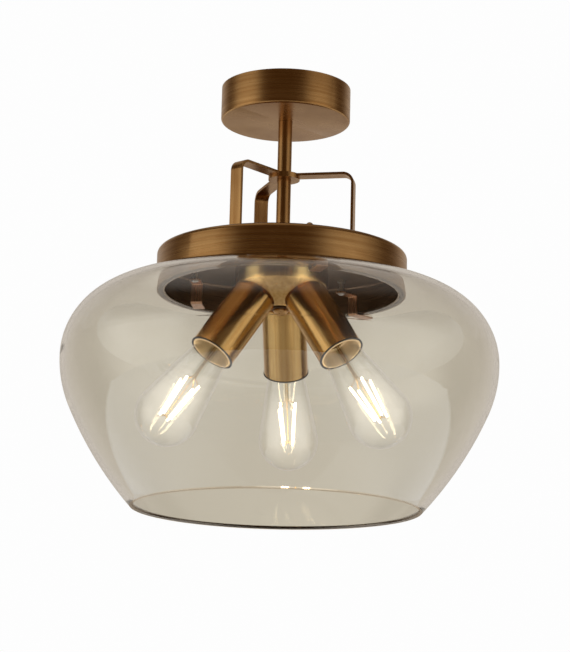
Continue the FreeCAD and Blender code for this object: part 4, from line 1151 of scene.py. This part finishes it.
def add_floor():
    """A plain pale floor far below the light."""
    sheet = NodeSheet("pale floor")
    fleck = sheet.noise(sheet.object_position(), scale=3.0)
    lit = sheet.add("BsdfPrincipled", Roughness=0.8,
                    Base_Color=sheet.blend(fleck, (0.78, 0.78, 0.77), (0.82, 0.82, 0.81)))
    pale = sheet.add("Emission", Color=(0.95, 0.95, 0.95, 1))
    seen, mirrored = sheet.sight()
    # The metal sees the floor brighter at its sides than in the middle, below the light.
    across = sheet.add("SeparateXYZ", Vector=sheet.object_position()).outputs["X"]
    aside = sheet.spread(sheet.number("ABSOLUTE", across), 0.12, 0.95, 0.35, 0.9)
    share = sheet.number("ADD", seen, sheet.number("MULTIPLY", mirrored, aside))
    material = sheet.finish(sheet.mix(sheet.spread(share, 0.0, 0.8), lit, pale))
    shape = bmesh.new()
    bmesh.ops.create_circle(shape, cap_ends=True, segments=96, radius=FLOOR_RADIUS)
    mesh = bpy.data.meshes.new("floor")
    shape.to_mesh(mesh)
    shape.free()
    mesh.transform(Matrix.Translation((0, 0, FLOOR_HEIGHT)))
    add_object("floor", mesh, [material])


def add_light(name, kind, spot, power, colour):
    """A light that neither the camera nor the glass shows."""
    data = bpy.data.lights.new(name, kind)
    data.energy = power
    data.color = colour
    light = add_object(name, data)
    light.location = spot
    light.visible_camera = False
    light.visible_transmission = False
    return light


def add_soft_lamp(name, spot, target, size, power, colour=(1, 1, 1)):
    """A large flat lamp that faces a target."""
    lamp = add_light(name, "AREA", spot, power, colour)
    lamp.data.shape = "RECTANGLE"
    lamp.data.size, lamp.data.size_y = size
    lamp.rotation_euler = (Vector(target) - Vector(spot)).to_track_quat("-Z", "Y").to_euler()
    return lamp


def add_sheen_lamp(name, spot, size, power, colour, pieces, blockers):
    """A soft lamp that shows as a sheen on some pieces only, and that nothing but its blockers hides."""
    lamp = add_soft_lamp(name, spot, HUB_MIDDLE, size, power, colour)
    lamp.data.cycles.use_multiple_importance_sampling = False
    lamp.light_linking.receiver_collection = pieces
    lamp.light_linking.blocker_collection = blockers


def add_bulb_light(name, lamp, power, pieces):
    """A warm point light at a bulb's middle for some of the pieces round it."""
    spot = lamp_place(lamp) @ Vector((0, 0, LIGHT_HEIGHT * MM))
    light = add_light("bulb light " + name, "POINT", spot, power, BULB_LIGHT)
    light.data.shadow_soft_size = BULB_LIGHT_RADIUS
    light.light_linking.receiver_collection = pieces


class LIGHT_OT_studio(bpy.types.Operator):
    """Set up the floor, room, lamps and camera"""

    bl_idname = "ceiling_light.studio"
    bl_label = "Studio"

    def execute(self, context):
        settings = context.scene.studio_settings
        context.scene.view_settings.view_transform = "Standard"
        add_camera()
        add_floor()
        add_room(settings)
        overhead = add_soft_lamp("overhead lamp", OVERHEAD_SPOT, SHADE_MIDDLE, OVERHEAD_SIZE,
                                 settings.overhead_lamp)
        overhead.visible_glossy = False
        pieces = [p for p in context.scene.objects if p.type == "MESH" and not p.hide_render]
        lit = {}
        for title, prefixes in LIT_GROUPS.items():
            lit[title] = bpy.data.collections.new(title)
            for piece in pieces:
                if piece.name.startswith(prefixes):
                    lit[title].objects.link(piece)
        blockers = lit["sheen blockers"]
        add_sheen_lamp("hub sheen left", HUB_SHEEN_LEFT, HUB_SHEEN_LEFT_SIZE, settings.hub_sheen, COOL_LIGHT,
                       lit["hub sheen"], blockers)
        add_sheen_lamp("hub sheen right", HUB_SHEEN_RIGHT, HUB_SHEEN_RIGHT_SIZE, settings.hub_sheen,
                       COOL_LIGHT, lit["hub sheen"], blockers)
        add_sheen_lamp("tube sheen", TUBE_SHEEN, TUBE_SHEEN_SIZE, settings.tube_sheen, COPPER_LIGHT,
                       lit["tube sheen"], blockers)
        for lamp in LAMPS:
            add_bulb_light("brass " + lamp, lamp, settings.bulb_light, lit["brass lit by the bulbs"])
            add_bulb_light("holder " + lamp, lamp, settings.holder_light, lit["holders lit by the bulbs"])
        return {"FINISHED"}


class LIGHT_PT_panel(bpy.types.Panel):
    """The steps that dress the light, in their order"""

    bl_label = "Ceiling light"
    bl_idname = "LIGHT_PT_panel"
    bl_space_type = "VIEW_3D"
    bl_region_type = "UI"
    bl_category = "Ceiling light"

    def draw(self, context):
        for operator in OPERATORS:
            self.layout.operator(operator.bl_idname)
        for group in GROUPS:
            settings = getattr(context.scene, group)
            for key in settings.__annotations__:
                self.layout.prop(settings, key)


OPERATORS = (LIGHT_OT_brasswork, LIGHT_OT_fixings, LIGHT_OT_clips, LIGHT_OT_shade, LIGHT_OT_lampholders,
             LIGHT_OT_bulbs, LIGHT_OT_studio)
GROUPS = {"light_colours": FinishColours, "shade_sizes": ShadeSizes, "bulb_sizes": BulbSizes,
          "studio_settings": StudioSettings}


def register():
    for group in (*GROUPS.values(), *OPERATORS, LIGHT_PT_panel):
        bpy.utils.register_class(group)
    for name, group in GROUPS.items():
        setattr(bpy.types.Scene, name, bpy.props.PointerProperty(type=group))


def unregister():
    for name in GROUPS:
        delattr(bpy.types.Scene, name)
    for group in (LIGHT_PT_panel, *OPERATORS[::-1], *list(GROUPS.values())[::-1]):
        bpy.utils.unregister_class(group)


def main():
    register()
    bpy.ops.ceiling_light.brasswork()
    bpy.ops.ceiling_light.fixings()
    bpy.ops.ceiling_light.clips()
    bpy.ops.ceiling_light.shade()
    bpy.ops.ceiling_light.lampholders()
    bpy.ops.ceiling_light.bulbs()
    bpy.ops.ceiling_light.studio()


if __name__ == "__main__":
    main()
